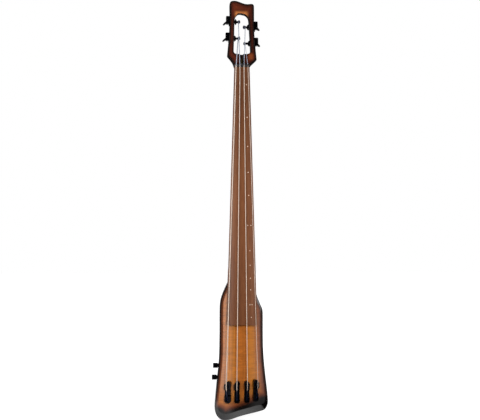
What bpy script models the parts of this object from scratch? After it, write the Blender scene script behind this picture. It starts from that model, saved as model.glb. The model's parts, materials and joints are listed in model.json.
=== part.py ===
# Fretless four-string electric upright bass, metres, +Z up.
# The front faces -Y, the back of the body lies at Y = 0, and the origin is the middle of the
# stand plate on the back. X points to the player's right as seen from the front.

import math

import bmesh
import bpy
from mathutils import Matrix, Vector

# Clearances
FIT_GAP = 0.0003            # between pieces that touch
TURN_GAP = 0.0003           # around anything that turns
WRAP_GAP = 0.0005           # between turns of a string on its post
CUT_OVERRUN = 0.001         # how far a cutter runs past the face it opens
STEP_RUN = 0.0002           # along the axis, from one radius to the next at a square shoulder

# Scale and strings
SCALE_LENGTH = 0.8636
NUT_Z = 0.771               # front edge of the nut above the stand plate's middle
NUT_SPACING = 0.0109
BRIDGE_SPACING = 0.0290
STRING_NAMES = ("e", "a", "d", "g")
STRING_DIAMETERS = {"e": 0.00267, "a": 0.00216, "d": 0.00178, "g": 0.00127}
STRING_ACTION_AT_NUT = 0.0006
WRAP_TURNS = {"e": 1.25, "a": 1.5, "d": 2.25, "g": 1.75}
WRAP_POINTS = 24
BALL_RADIUS = 0.0027
BALL_LENGTH = 0.0048
STRING_SIDES_IN_SLOT = 12

# Body
BODY_DEPTH = 0.058
CAP_PLANE_DEPTH = 0.030     # the cap's underside in front of the back
TOP_RADIUS = 0.170          # arch of the cap
SIDE_BEVEL = 0.0090
BOTTOM_BEVEL = 0.0225
TOP_BEVEL = 0.0040
BACK_ROUND = 0.005
LEAST_RUN = 0.40            # of the outline's run that the bevel's inner edge keeps round a corner
UNFOLD_PASSES = 600         # at most, to spread that edge's points

# The body's outline (x, z), clockwise from the left shoulder as seen from the front
BODY_OUTLINE = (
    (-0.0388, 0.1788), (-0.0355, 0.1823), (-0.0305, 0.1832), (-0.0235, 0.1810), (0.0000, 0.1715),
    (0.0300, 0.1595), (0.0385, 0.1545), (0.0432, 0.1465), (0.0465, 0.1370), (0.0530, 0.1215),
    (0.0590, 0.1075), (0.0603, 0.0900), (0.0604, 0.0400), (0.0616, -0.0120), (0.0662, -0.0670),
    (0.0712, -0.1100), (0.0740, -0.1420), (0.0728, -0.1560), (0.0655, -0.1690), (0.0500, -0.1748),
    (0.0140, -0.1835), (-0.0050, -0.1885), (-0.0246, -0.1950), (-0.0390, -0.1985), (-0.0545, -0.1968),
    (-0.0665, -0.1860), (-0.0720, -0.1720), (-0.0728, -0.1560), (-0.0700, -0.1240), (-0.0642, -0.0680),
    (-0.0606, -0.0240), (-0.0594, 0.0400), (-0.0592, 0.1000), (-0.0580, 0.1250), (-0.0540, 0.1430),
    (-0.0480, 0.1585), (-0.0415, 0.1730),
)

# Neck and fingerboard
NECK_PROUD = 0.003          # glue plane in front of the cap's crest
FINGERBOARD_LENGTH = 0.7032
FINGERBOARD_NUT_WIDTH = 0.0420
FINGERBOARD_END_WIDTH = 0.0838
FINGERBOARD_RADIUS = 0.150
FINGERBOARD_NUT_THICKNESS = 0.0080
FINGERBOARD_END_THICKNESS = 0.0140
FINGERBOARD_STATIONS = 6
NECK_STEP_IN = 0.0002
NECK_NUT_DEPTH = 0.0205
NECK_HEEL_TOP_DEPTH = 0.0270
HEEL_DEPTH = 0.0420
HEEL_TOP_Z = 0.236
HEEL_FULL_Z = 0.194
NECK_SECTION_STEPS = 14
NECK_SQUARENESS = 2.3       # exponent of the section under the hand
HEEL_SQUARENESS = 7.0       # and in the body
NUT_LENGTH = 0.0068
NUT_OVERHANG = 0.0002

# Headstock, in its own tilted frame: x, and v measured up from the nut
HEAD_TILT = math.radians(5.0)
HEAD_THICKNESS = 0.020
HEAD_EDGE = 0.0012
LEFT_SHOULDER = (
    (-0.0209, 0.0008), (-0.0226, 0.0070), (-0.0262, 0.0154), (-0.0325, 0.0240), (-0.0375, 0.0300),
)
CROWN = (
    (-0.0393, 0.0328), (-0.0389, 0.0400), (-0.0355, 0.0745), (-0.0331, 0.1040), (-0.0321, 0.1400),
    (-0.0325, 0.1730), (-0.0314, 0.1800), (-0.0278, 0.1841), (-0.0215, 0.1854), (-0.0130, 0.1848),
    (0.0016, 0.1796), (0.0096, 0.1771), (0.0172, 0.1763), (0.0272, 0.1772), (0.0322, 0.1758),
    (0.0341, 0.1724), (0.0347, 0.1640), (0.0347, 0.1080), (0.0357, 0.0830), (0.0380, 0.0534),
    (0.0391, 0.0400), (0.0410, 0.0222),
)
RIGHT_SHOULDER = ((0.0410, 0.0222), (0.0335, 0.0150), (0.0262, 0.0080), (0.0209, 0.0008))
WINDOW_OUTLINE = (
    (-0.0194, 0.1270), (-0.0176, 0.1381), (-0.0138, 0.1462), (-0.0070, 0.1507), (0.0040, 0.1495),
    (0.0112, 0.1469), (0.0175, 0.1398), (0.0198, 0.1275), (0.0222, 0.0810), (0.0238, 0.0490),
    (0.0226, 0.0413), (0.0165, 0.0374), (0.0000, 0.0372), (-0.0152, 0.0374), (-0.0209, 0.0413),
    (-0.0218, 0.0490), (-0.0202, 0.0900),
)
OUTLINE_POINTS_PER_SPAN = 3

# Truss rod
ROD_WIDTH = 0.0060
ROD_HEIGHT = 0.0090
ROD_BOTTOM_Z = 0.160
ACCESS_WIDTH = 0.0086
ACCESS_DEPTH = 0.0105
ACCESS_START_V = 0.0095
TRUSS_NUT_RADIUS = 0.0038
TRUSS_NUT_LENGTH = 0.0130
TRUSS_KEY_RADIUS = 0.0022
TRUSS_KEY_DEPTH = 0.0070
TRUSS_NUT_EDGE = 0.0006

# Bridges, one rail for each string
STRING_ABOVE_TOP = 0.022
RAIL_LENGTH = 0.0610
RAIL_WAIST = 0.0012         # drawn in on each side between head and tail
RAIL_DOME_RADIUS = 0.0066   # round end on the inner side, above the saddle
SADDLE_SIDE_REACH = 0.0068  # least reach beside the saddle on the outer side
SADDLE_SIDE_ROUND = 0.0025
SADDLE_SIDE_WALL = 0.0020   # in front of the saddle pocket and behind it

# Reach of each rail from its string's plane, on the outer and the inner side
RAIL_REACH = {"e": (0.0074, 0.0110), "a": (0.0074, 0.0082), "d": (0.0078, 0.0074), "g": (0.0052, 0.0096)}
RAIL_SHIFT = {"e": -0.0071, "a": -0.0065, "d": -0.0057, "g": -0.0028}   # set for each string's tuning
RAIL_SLOPE = 0.0040
RAIL_BED_HEIGHT = 0.0075
RAIL_HEAD_HEIGHT = 0.0135
RAIL_HEAD_LENGTH = 0.0215
RAIL_TAIL_HEIGHT = 0.0115
RAIL_TAIL_LENGTH = 0.0200
RAIL_GROOVE_WIDTH = 0.0046
RAIL_GROOVE_FLOOR = 0.0030
SADDLE_WIDTH = 0.0090
SADDLE_LENGTH = 0.0090
SADDLE_ROUND = 0.0045
SADDLE_CHAMFER = 0.0012
SADDLE_FROM_RAIL_TOP = 0.0135
SADDLE_POCKET_FLOOR = 0.0060
PIEZO_THICKNESS = 0.0016
BALL_POCKET_FLOOR = 0.0022
BALL_POCKET_PLAY = 0.0018
ANCHOR_FROM_RAIL_TOP = 0.0480
ANCHOR_HEIGHT = 0.0068

# Tuners: side of the headstock (-1 left), height of the post, free end of the post from the middle
TUNERS = {
    "e": (-1, 0.0818, 0.0033),
    "a": (-1, 0.1279, 0.0030),
    "d": (1, 0.1133, 0.0039),
    "g": (1, 0.0681, 0.0052),
}
POST_DEPTH = 0.0094          # the post's axis behind the headstock's face
POST_RADIUS = 0.0032
POST_SIDES = 16
BUSHING_WALL = 0.0016
FLARE_RADIUS = 0.0083
FLARE_TIP_RADIUS = 0.0056
FLARE_LENGTH = 0.0045
GEAR_RADIUS = 0.0047
GEAR_TOOTH = 0.0007
GEAR_TEETH = 20
GEAR_THICKNESS = 0.0040
WORM_RADIUS = 0.0021
WORM_THREAD = 0.0005
WORM_LENGTH = 0.0100
WORM_TURNS = 6
HOUSING_DEPTH = 0.0104      # how far it stands off the headstock's side
HOUSING_WALL = 0.0012
HOUSING_WIDTH = 0.0156      # front to back
HOUSING_BELOW = 0.0066      # from the post's axis
HOUSING_ABOVE = 0.0158
TAB_LENGTH = 0.0056
TAB_THICKNESS = 0.0030
TAB_WIDTH = 0.0080
KEY_SHAFT_RADIUS = 0.0026
KEY_COLLAR_RADIUS = 0.0042
KEY_COLLAR_LENGTH = 0.0030
KEY_NECK_LENGTH = 0.0060
LEAF_SPAN = 0.0320
LEAF_LENGTH = 0.0210
LEAF_THICKNESS = 0.0028
LEAF_ANGLE = math.radians(38.0)
PLATE_SPAN = 0.0145         # half the height over which a plate needs a flat seat
SEAT_PLAY = 0.0008          # the flat's length past the plate at each end
HOUSING_EDGE = 0.0016
HOUSING_CORNER = 0.0030
TAB_OVERLAP = 0.0040
POST_EDGE = 0.0006
KEY_SHOULDER = 0.0010
KEY_TIP = 0.0030            # the shaft's end inside the leaf
LEAF_EDGE = 0.0007

# Controls on the left side wall
KNOB_RADIUS = 0.0070
KNOB_HEIGHT = 0.0130
KNOB_Z = {"volume": -0.0485, "tone": -0.0810}
KNOB_STAND_OFF = 0.0010
KNOB_EDGE = 0.0008
KNOB_MARK_WIDTH = 0.0010
KNOB_MARK_DEPTH = 0.0006
CONTROL_Y = -0.0170
SHAFT_RADIUS = 0.0030
SHAFT_IN_KNOB = 0.0090
POT_RADIUS = 0.0085
POT_LENGTH = 0.0080
POT_THREAD_RADIUS = 0.0045

# Control cavity and its cover
CAVITY_WALL_X = -0.0520
CAVITY_WIDTH = 0.0270
CAVITY_DEPTH = 0.0280
CAVITY_BOTTOM_Z = -0.1060
CAVITY_TOP_Z = -0.0300
COVER_LIP = 0.0035
COVER_THICKNESS = 0.0025
COVER_CORNER = 0.0050
CAVITY_CORNER = 0.0030
BOARD_WIDTH = 0.0120
BOARD_LENGTH = 0.0560
BOARD_THICKNESS = 0.0016
BOARD_FROM_TOP = 0.0100     # below the cavity's top

# Parts on the board: share of its length from the top, height, width and length
BOARD_PARTS = (
    (0.10, 0.0030, 0.0060, 0.0080), (0.35, 0.0025, 0.0050, 0.0100),
    (0.62, 0.0040, 0.0060, 0.0060), (0.84, 0.0030, 0.0070, 0.0050),
)

# Battery box
BATTERY_WIDTH = 0.0262
BATTERY_LENGTH = 0.0480
BATTERY_DEPTH = 0.0170
BATTERY_PLAY = 0.0006
BOX_WALL = 0.0020
BOX_MIDDLE_X = 0.0390
BOX_TOP_Z = -0.0420
TERMINAL_RADIUS = 0.0036
TERMINAL_HEIGHT = 0.0030
TERMINAL_SPACING = 0.0130
DOOR_THICKNESS = 0.0040
DOOR_SEAT = 0.0014          # the step in the box's rim that the door shuts into
DOOR_SWING_GAP = 0.0008     # above the door, which leans back over the rim when it is open
DOOR_PIN_RADIUS = 0.0008
PIN_REACH = 0.0009          # of the pin past the door at each side
NOTCH_WIDTH = 0.0120
NOTCH_RADIUS = 0.0022

# Output jack
JACK_X = 0.0
JACK_Z = -0.1200
JACK_BORE_RADIUS = 0.0033
JACK_BARREL_RADIUS = 0.0070
JACK_LENGTH = 0.0270
JACK_PLATE_RADIUS = 0.0130
JACK_PLATE_THICKNESS = 0.0020
JACK_END_WALL = 0.0020
JACK_EDGE = 0.0006

# Stand plate
PLATE_WIDTH = 0.0420
PLATE_LENGTH = 0.0900
PLATE_THICKNESS = 0.0040
PLATE_CORNER = 0.0060
PLATE_HOLE_RADIUS = 0.0033
PLATE_HOLE_SPACING = 0.0600
BOLT_ROOM_RADIUS = 0.0040   # in the wood behind the plate
BOLT_ROOM_DEPTH = 0.0200

# Worked out from the sizes above
GLUE_Y = -(BODY_DEPTH + NECK_PROUD)
FINGERBOARD_END_Z = NUT_Z - FINGERBOARD_LENGTH
SADDLE_Z = NUT_Z - SCALE_LENGTH
TOP_AXIS_Y = TOP_RADIUS - BODY_DEPTH
HEAD_FRAME = Matrix.Translation((0.0, GLUE_Y, NUT_Z)) @ Matrix.Rotation(-HEAD_TILT, 4, "X")
WORM_OFFSET = GEAR_RADIUS + GEAR_TOOTH + WORM_RADIUS + WORM_THREAD + TURN_GAP

MATERIALS = {
    "maple_cap": ((0.400, 0.110, 0.016), 0.15, 0.0),
    "mahogany": ((0.030, 0.004, 0.001), 0.20, 0.0),
    "neck_wood": ((0.110, 0.022, 0.008), 0.25, 0.0),
    "board_wood": ((0.150, 0.045, 0.020), 0.50, 0.0),
    "nut_black": ((0.025, 0.022, 0.022), 0.40, 0.0),
    "string_steel": ((0.620, 0.540, 0.500), 0.30, 1.0),
    "black_metal": ((0.008, 0.008, 0.009), 0.25, 1.0),
    "steel": ((0.450, 0.450, 0.460), 0.35, 1.0),
    "brass": ((0.550, 0.380, 0.120), 0.30, 1.0),
    "black_plastic": ((0.012, 0.012, 0.013), 0.45, 0.0),
    "board_green": ((0.010, 0.080, 0.030), 0.50, 0.0),
    "battery_shell": ((0.100, 0.100, 0.110), 0.35, 0.6),
    "ceramic": ((0.600, 0.580, 0.520), 0.40, 0.0),
}


# Scene and objects

def clear_scene():
    for obj in list(bpy.data.objects):
        bpy.data.objects.remove(obj, do_unlink=True)


def material(name):
    found = bpy.data.materials.get(name)
    if found:
        return found
    colour, roughness, metallic = MATERIALS[name]
    made = bpy.data.materials.new(name)
    made.use_nodes = True
    shader = made.node_tree.nodes["Principled BSDF"]
    shader.inputs["Base Color"].default_value = (*colour, 1.0)
    shader.inputs["Roughness"].default_value = roughness
    shader.inputs["Metallic"].default_value = metallic
    return made


def add_object(name, data, finish, place=None):
    obj = bpy.data.objects.new(name, data)
    bpy.context.collection.objects.link(obj)
    if finish:
        data.materials.append(material(finish))
    if place:
        obj.matrix_world = place
    return obj


def mesh_from(name, bm, smooth_angle=None):
    bmesh.ops.recalc_face_normals(bm, faces=bm.faces)
    mesh = bpy.data.meshes.new(name)
    bm.to_mesh(mesh)
    bm.free()
    if smooth_angle is not None:
        mesh.shade_smooth()
        mesh.set_sharp_from_angle(angle=math.radians(smooth_angle))
    return mesh


def combine(target, helper, operation):
    modifier = target.modifiers.new(helper.name, "BOOLEAN")
    modifier.operation = operation
    modifier.object = helper
    helper.hide_render = True
    helper.display_type = "WIRE"


def cut(target, helper):
    combine(target, helper, "DIFFERENCE")


def join(target, helper):
    combine(target, helper, "UNION")


# Shapes

def loft(rings):
    """Closed skin through rings of equal length, with a flat face at each end."""
    bm = bmesh.new()
    rows = [[bm.verts.new(point) for point in ring] for ring in rings]
    for lower, upper in zip(rows, rows[1:]):
        for i in range(len(lower)):
            j = (i + 1) % len(lower)
            bm.faces.new((lower[i], lower[j], upper[j], upper[i]))
    bm.faces.new(rows[0])
    bm.faces.new(rows[-1])
    return bm


def turned(profile, sides=24):
    """Solid of revolution about local X from (x, radius) pairs; the ends are closed."""
    rings = []
    for x, radius in profile:
        ring = []
        for i in range(sides):
            angle = 2.0 * math.pi * i / sides
            ring.append((x, radius * math.cos(angle), radius * math.sin(angle)))
        rings.append(ring)
    return loft(rings)


def box(low, high):
    bm = bmesh.new()
    bmesh.ops.create_cube(bm, size=1.0)
    for vert in bm.verts:
        for axis in range(3):
            middle = 0.5 * (low[axis] + high[axis])
            vert.co[axis] = middle + vert.co[axis] * (high[axis] - low[axis])
    return bm


def extruded(outline, near, far):
    """Prism of an (x, z) outline between two depths in Y."""
    return loft([[(x, near, z) for x, z in outline], [(x, far, z) for x, z in outline]])


def rounded_rectangle(middle_x, middle_z, width, height, corner, steps=4):
    points = []
    for quarter, (sx, sz) in enumerate(((1, 1), (-1, 1), (-1, -1), (1, -1))):
        cx = middle_x + sx * (0.5 * width - corner)
        cz = middle_z + sz * (0.5 * height - corner)
        for i in range(steps + 1):
            angle = math.radians(90.0 * (quarter + i / steps))
            points.append((cx + corner * math.cos(angle), cz + corner * math.sin(angle)))
    return points


def spline_span(before, start, end, after, steps):
    """Points of one Catmull-Rom span, from its start up to but not including its end."""
    points = []
    for i in range(steps):
        t = i / steps
        point = []
        for a, b, c, d in zip(before, start, end, after):
            point.append(0.5 * (2 * b + (c - a) * t + (2 * a - 5 * b + 4 * c - d) * t * t
                                + (3 * b - a - 3 * c + d) * t ** 3))
        points.append(tuple(point))
    return points


def smooth_ring(points, steps):
    count = len(points)
    ring = []
    for i in range(count):
        ring += spline_span(points[i - 1], points[i], points[(i + 1) % count],
                            points[(i + 2) % count], steps)
    return ring


def smooth_run(points, steps):
    """An open run, smooth between its two ends, both of which it keeps."""
    run = []
    last = len(points) - 1
    for i in range(last):
        run += spline_span(points[max(i - 1, 0)], points[i], points[i + 1],
                           points[min(i + 2, last)], steps)
    return run + [points[-1]]


def outward_normals(ring):
    """Unit normals of a ring that runs clockwise seen from the front, pointing out of it."""
    normals = []
    count = len(ring)
    for i in range(count):
        dx = ring[(i + 1) % count][0] - ring[i - 1][0]
        dz = ring[(i + 1) % count][1] - ring[i - 1][1]
        length = math.hypot(dx, dz)
        normals.append((-dz / length, dx / length))
    return normals


def inset_ring(ring, distance_at):
    points = []
    for (x, z), (nx, nz) in zip(ring, outward_normals(ring)):
        distance = distance_at(nz)
        points.append((x - nx * distance, z - nz * distance))
    return points


def unfolded(ring, guide):
    """Spreads a ring's points where they bunch up or run back against the ring they follow."""
    count = len(ring)
    for _ in range(UNFOLD_PASSES):
        crowded = set()
        for i in range(count):
            j = (i + 1) % count
            step = [guide[j][k] - guide[i][k] for k in range(2)]
            run = [ring[j][k] - ring[i][k] for k in range(2)]
            if sum(a * b for a, b in zip(step, run)) < LEAST_RUN * sum(a * a for a in step):
                crowded |= {i - 1, i, j, (j + 1) % count}
        if not crowded:
            break
        ring = [tuple(0.25 * (ring[i - 1][k] + 2.0 * ring[i][k] + ring[(i + 1) % count][k]) for k in range(2))
                if i in crowded else ring[i] for i in range(count)]
    return ring


# Rules shared by several pieces

def arch_y(x):
    """Front of the cap at x."""
    return TOP_AXIS_Y - math.sqrt(TOP_RADIUS ** 2 - x * x)


def board_half_width(z):
    share = (NUT_Z - z) / FINGERBOARD_LENGTH
    return 0.5 * (FINGERBOARD_NUT_WIDTH + (FINGERBOARD_END_WIDTH - FINGERBOARD_NUT_WIDTH) * share)


def board_surface_y(x, z):
    share = (NUT_Z - z) / FINGERBOARD_LENGTH
    thickness = FINGERBOARD_NUT_THICKNESS
    thickness += (FINGERBOARD_END_THICKNESS - FINGERBOARD_NUT_THICKNESS) * share
    drop = FINGERBOARD_RADIUS - math.sqrt(FINGERBOARD_RADIUS ** 2 - x * x)
    return GLUE_Y - thickness + drop


def string_index(name):
    return STRING_NAMES.index(name) - 0.5 * (len(STRING_NAMES) - 1)


def string_radius(name):
    return 0.5 * STRING_DIAMETERS[name]


def nut_point(name):
    x = string_index(name) * NUT_SPACING
    y = board_surface_y(x, NUT_Z) - STRING_ACTION_AT_NUT - string_radius(name)
    return Vector((x, y, NUT_Z))


def rail_frame(name):
    """Frame on the cap at the string: x across, y up off the cap, z towards the tail."""
    saddle_x = string_index(name) * BRIDGE_SPACING
    base_x = saddle_x / (1.0 + STRING_ABOVE_TOP / TOP_RADIUS)
    rail_top = SADDLE_Z + SADDLE_FROM_RAIL_TOP + RAIL_SHIFT[name]
    base = Vector((base_x, arch_y(base_x), rail_top))
    up = (base - Vector((0.0, TOP_AXIS_Y, base.z))).normalized()
    along = Vector((0.0, 0.0, -1.0))
    across = up.cross(along)
    frame = Matrix((across, up, along)).transposed().to_4x4()
    frame.translation = base
    return frame


def saddle_point(name):
    """Where the string's two straight runs meet, just behind the saddle's round crown."""
    rest = SADDLE_ROUND + FIT_GAP + string_radius(name)
    dive = math.atan2(STRING_ABOVE_TOP - ANCHOR_HEIGHT, ANCHOR_FROM_RAIL_TOP - SADDLE_FROM_RAIL_TOP)
    along = SADDLE_FROM_RAIL_TOP + rest * math.tan(0.5 * dive)
    return rail_frame(name) @ Vector((0.0, STRING_ABOVE_TOP, along))


def anchor_point(name):
    return rail_frame(name) @ Vector((0.0, ANCHOR_HEIGHT, ANCHOR_FROM_RAIL_TOP))


def head_outline():
    runs = [smooth_run(run, OUTLINE_POINTS_PER_SPAN) for run in (LEFT_SHOULDER, CROWN, RIGHT_SHOULDER)]
    return runs[0] + runs[1] + runs[2][1:]


def window_outline():
    return smooth_ring(WINDOW_OUTLINE, OUTLINE_POINTS_PER_SPAN)


def flank_reach(outline, side, low, high, pick=min):
    """Least (or largest) distance of an outline's side from the middle between two heights."""
    reach = []
    for (x0, v0), (x1, v1) in zip(outline, outline[1:] + outline[:1]):
        if x0 * side <= 0.0 or x1 * side <= 0.0:
            continue
        for v in (low, high):
            if min(v0, v1) <= v <= max(v0, v1) and v0 != v1:
                reach.append(side * (x0 + (x1 - x0) * (v - v0) / (v1 - v0)))
        if low <= v0 <= high:
            reach.append(side * x0)
    return pick(reach)


def seat_x(name):
    side, v, _ = TUNERS[name]
    return flank_reach(head_outline(), side, v - PLATE_SPAN, v + PLATE_SPAN) - HEAD_EDGE * 0.5


def window_x(name):
    side, v, _ = TUNERS[name]
    return flank_reach(window_outline(), side, v - FLARE_RADIUS, v + FLARE_RADIUS)


def post_frame(name):
    """Frame on the middle of the post's axis, across the headstock."""
    _, v, _ = TUNERS[name]
    return HEAD_FRAME @ Matrix.Translation((0.0, POST_DEPTH, v))


def key_frame(name):
    side = TUNERS[name][0]
    middle = side * (seat_x(name) + FIT_GAP + 0.5 * HOUSING_DEPTH)
    return post_frame(name) @ Matrix.Translation((middle, 0.0, WORM_OFFSET))


def left_wall_x(z):
    """Where the body's left side stands out most beside a knob."""
    return -flank_reach(body_outline(), -1, z - KNOB_RADIUS, z + KNOB_RADIUS, max)


def body_outline():
    return smooth_ring(BODY_OUTLINE, OUTLINE_POINTS_PER_SPAN)


# Body

def bevel_width(nz):
    """The bevel is wider where the outline faces down and narrower where it faces up."""
    if nz > 0.0:
        return SIDE_BEVEL + (TOP_BEVEL - SIDE_BEVEL) * nz
    return SIDE_BEVEL + (BOTTOM_BEVEL - SIDE_BEVEL) * (-nz) ** 1.5


def make_body_top():
    outline = body_outline()
    inner = unfolded(inset_ring(outline, bevel_width), outline)
    flat_front = -BODY_DEPTH
    near = -(CAP_PLANE_DEPTH + FIT_GAP)
    bm = loft([[(x, near, z) for x, z in outline], [(x, flat_front, z) for x, z in inner]])
    half = max(abs(x) for x, _ in inner)
    strips = 12
    for i in range(1, strips):
        x = -half + 2.0 * half * i / strips
        geometry = list(bm.verts) + list(bm.edges) + list(bm.faces)
        bmesh.ops.bisect_plane(bm, geom=geometry, dist=1e-6, plane_co=(x, 0.0, 0.0),
                               plane_no=(1.0, 0.0, 0.0))
    for vert in bm.verts:
        share = (vert.co.y - near) / (flat_front - near)
        vert.co.y = near + share * (arch_y(vert.co.x) - near)
    top = add_object("body_top", mesh_from("body_top", bm, 25), "maple_cap")
    cut(top, neck_mortise("top_mortise"))
    return top


def make_body_back():
    outline = body_outline()
    rings = []
    for depth, inset in ((0.0, BACK_ROUND), (0.3 * BACK_ROUND, 0.3 * BACK_ROUND),
                         (BACK_ROUND, 0.0), (CAP_PLANE_DEPTH, 0.0)):
        ring = inset_ring(outline, lambda nz, width=inset: width)
        rings.append([(x, -depth, z) for x, z in ring])
    back = add_object("body_back", mesh_from("body_back", loft(rings), 40), "mahogany")
    cut(back, neck_mortise("back_mortise"))
    cut_control_cavity(back)
    cut_battery_pocket(back)
    cut_jack_hole(back)
    cut_plate_seat(back)
    return back


def neck_mortise(name):
    """The neck's heel with a clearance all round, open to the front."""
    rings = []
    for z in (FINGERBOARD_END_Z - FIT_GAP, HEEL_FULL_Z, HEEL_TOP_Z, HEEL_TOP_Z + HEEL_DEPTH):
        rings.append(neck_section(z, FIT_GAP, NECK_PROUD + BODY_DEPTH))
    return add_object(name, mesh_from(name, loft(rings)), None)


# Neck

def neck_depth(z):
    if z <= HEEL_FULL_Z:
        return HEEL_DEPTH
    if z <= HEEL_TOP_Z:
        share = (HEEL_TOP_Z - z) / (HEEL_TOP_Z - HEEL_FULL_Z)
        share = share * share * (3.0 - 2.0 * share)
        return NECK_HEEL_TOP_DEPTH + (HEEL_DEPTH - NECK_HEEL_TOP_DEPTH) * share
    share = (NUT_Z - z) / (NUT_Z - HEEL_TOP_Z)
    return NECK_NUT_DEPTH + (NECK_HEEL_TOP_DEPTH - NECK_NUT_DEPTH) * share


def neck_squareness(z):
    """Exponent of the section: round under the hand, square in the body."""
    if z <= HEEL_FULL_Z:
        return HEEL_SQUARENESS
    if z >= HEEL_TOP_Z:
        return NECK_SQUARENESS
    share = (z - HEEL_FULL_Z) / (HEEL_TOP_Z - HEEL_FULL_Z)
    return HEEL_SQUARENESS + (NECK_SQUARENESS - HEEL_SQUARENESS) * share


def neck_section(z, grow=0.0, front_grow=0.0):
    half = board_half_width(z) - NECK_STEP_IN + grow
    depth = neck_depth(z) + grow
    power = 2.0 / neck_squareness(z)
    ring = []
    if front_grow:
        ring.append((half, GLUE_Y - front_grow, z))
    for i in range(NECK_SECTION_STEPS + 1):
        angle = math.pi * i / NECK_SECTION_STEPS
        x = half * math.copysign(abs(math.cos(angle)) ** power, math.cos(angle))
        if i * 2 == NECK_SECTION_STEPS:
            x = 0.0
        y = GLUE_Y + depth * abs(math.sin(angle)) ** power
        if i in (0, NECK_SECTION_STEPS):
            y = GLUE_Y
        ring.append((x, y, z))
    if front_grow:
        ring.append((-half, GLUE_Y - front_grow, z))
    return ring


def make_neck():
    heights = [FINGERBOARD_END_Z, HEEL_FULL_Z]
    for share in (0.25, 0.5, 0.75, 1.0):
        heights.append(HEEL_FULL_Z + (HEEL_TOP_Z - HEEL_FULL_Z) * share)
    heights += [0.5 * (HEEL_TOP_Z + NUT_Z), NUT_Z, NUT_Z + NUT_LENGTH]
    neck = add_object("neck", mesh_from("neck", loft([neck_section(z) for z in heights]), 40),
                      "neck_wood")
    join(neck, headstock_block())
    cut(neck, window_cutter())
    cut(neck, rod_channel())
    cut(neck, access_slot())
    for name in STRING_NAMES:
        cut(neck, bushing_hole(name))
        cut(neck, plate_seat(name))
    return neck


def headstock_block():
    outline = head_outline()
    rings = []
    for depth, inset in ((0.0, HEAD_EDGE), (HEAD_EDGE, 0.0),
                         (HEAD_THICKNESS - HEAD_EDGE, 0.0), (HEAD_THICKNESS, HEAD_EDGE)):
        ring = inset_ring(outline, lambda nz, width=inset: width)
        rings.append([(x, depth, v) for x, v in ring])
    return add_object("headstock_block", mesh_from("headstock_block", loft(rings)), None, HEAD_FRAME)


def window_cutter():
    bm = extruded(window_outline(), -HEAD_THICKNESS, 2.0 * HEAD_THICKNESS)
    return add_object("window_cutter", mesh_from("window_cutter", bm), None, HEAD_FRAME)


def rod_channel():
    half = 0.5 * ROD_WIDTH + FIT_GAP
    bm = box((-half, GLUE_Y - ROD_HEIGHT, ROD_BOTTOM_Z - FIT_GAP),
             (half, GLUE_Y + ROD_HEIGHT + 2.0 * FIT_GAP, NUT_Z + ACCESS_START_V + FIT_GAP))
    return add_object("rod_channel", mesh_from("rod_channel", bm), None)


def access_slot():
    half = 0.5 * ACCESS_WIDTH
    beyond = 0.5 * HEAD_THICKNESS
    outline = window_outline()
    window_bottom = min(v for _, v in outline)
    bm = box((-half, -beyond, ACCESS_START_V), (half, ACCESS_DEPTH, window_bottom + CUT_OVERRUN))
    return add_object("access_slot", mesh_from("access_slot", bm), None, HEAD_FRAME)


def bushing_hole(name):
    side = TUNERS[name][0]
    radius = POST_RADIUS + TURN_GAP + BUSHING_WALL + FIT_GAP
    near = window_x(name) - FLARE_LENGTH
    far = seat_x(name) + HOUSING_DEPTH
    bm = turned([(side * near, radius), (side * far, radius)], POST_SIDES)
    label = f"bushing_hole_{name}"
    return add_object(label, mesh_from(label, bm), None, post_frame(name))


def plate_seat(name):
    """A flat let into the headstock's side, so that the tuner sits square to its post."""
    side = TUNERS[name][0]
    near = side * seat_x(name)
    far = side * (seat_x(name) + HOUSING_DEPTH)
    bm = box((min(near, far), -HEAD_THICKNESS, -(HOUSING_BELOW + TAB_LENGTH + SEAT_PLAY)),
             (max(near, far), HEAD_THICKNESS, HOUSING_ABOVE + SEAT_PLAY))
    label = f"plate_seat_{name}"
    return add_object(label, mesh_from(label, bm), None, post_frame(name))


def make_fingerboard():
    rings = []
    steps = 10
    for i in range(FINGERBOARD_STATIONS + 1):
        z = FINGERBOARD_END_Z + (FINGERBOARD_LENGTH - FIT_GAP) * i / FINGERBOARD_STATIONS
        half = board_half_width(z)
        ring = [(half, GLUE_Y - FIT_GAP, z), (-half, GLUE_Y - FIT_GAP, z)]
        for j in range(steps + 1):
            x = -half + 2.0 * half * j / steps
            ring.append((x, board_surface_y(x, z), z))
        rings.append(ring)
    board = add_object("fingerboard", mesh_from("fingerboard", loft(rings), 30), "board_wood")
    return board


def make_nut():
    half = 0.5 * FINGERBOARD_NUT_WIDTH + NUT_OVERHANG
    steps = 10
    rings = []
    for z in (NUT_Z, NUT_Z + NUT_LENGTH):
        ring = [(half, GLUE_Y - FIT_GAP, z), (-half, GLUE_Y - FIT_GAP, z)]
        for j in range(steps + 1):
            x = -half + 2.0 * half * j / steps
            ring.append((x, board_surface_y(x, NUT_Z) - 2.2 * STRING_ACTION_AT_NUT, z))
        rings.append(ring)
    nut = add_object("nut", mesh_from("nut", loft(rings), 30), "nut_black")
    for name in STRING_NAMES:
        cut(nut, nut_slot(name))
    return nut


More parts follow.
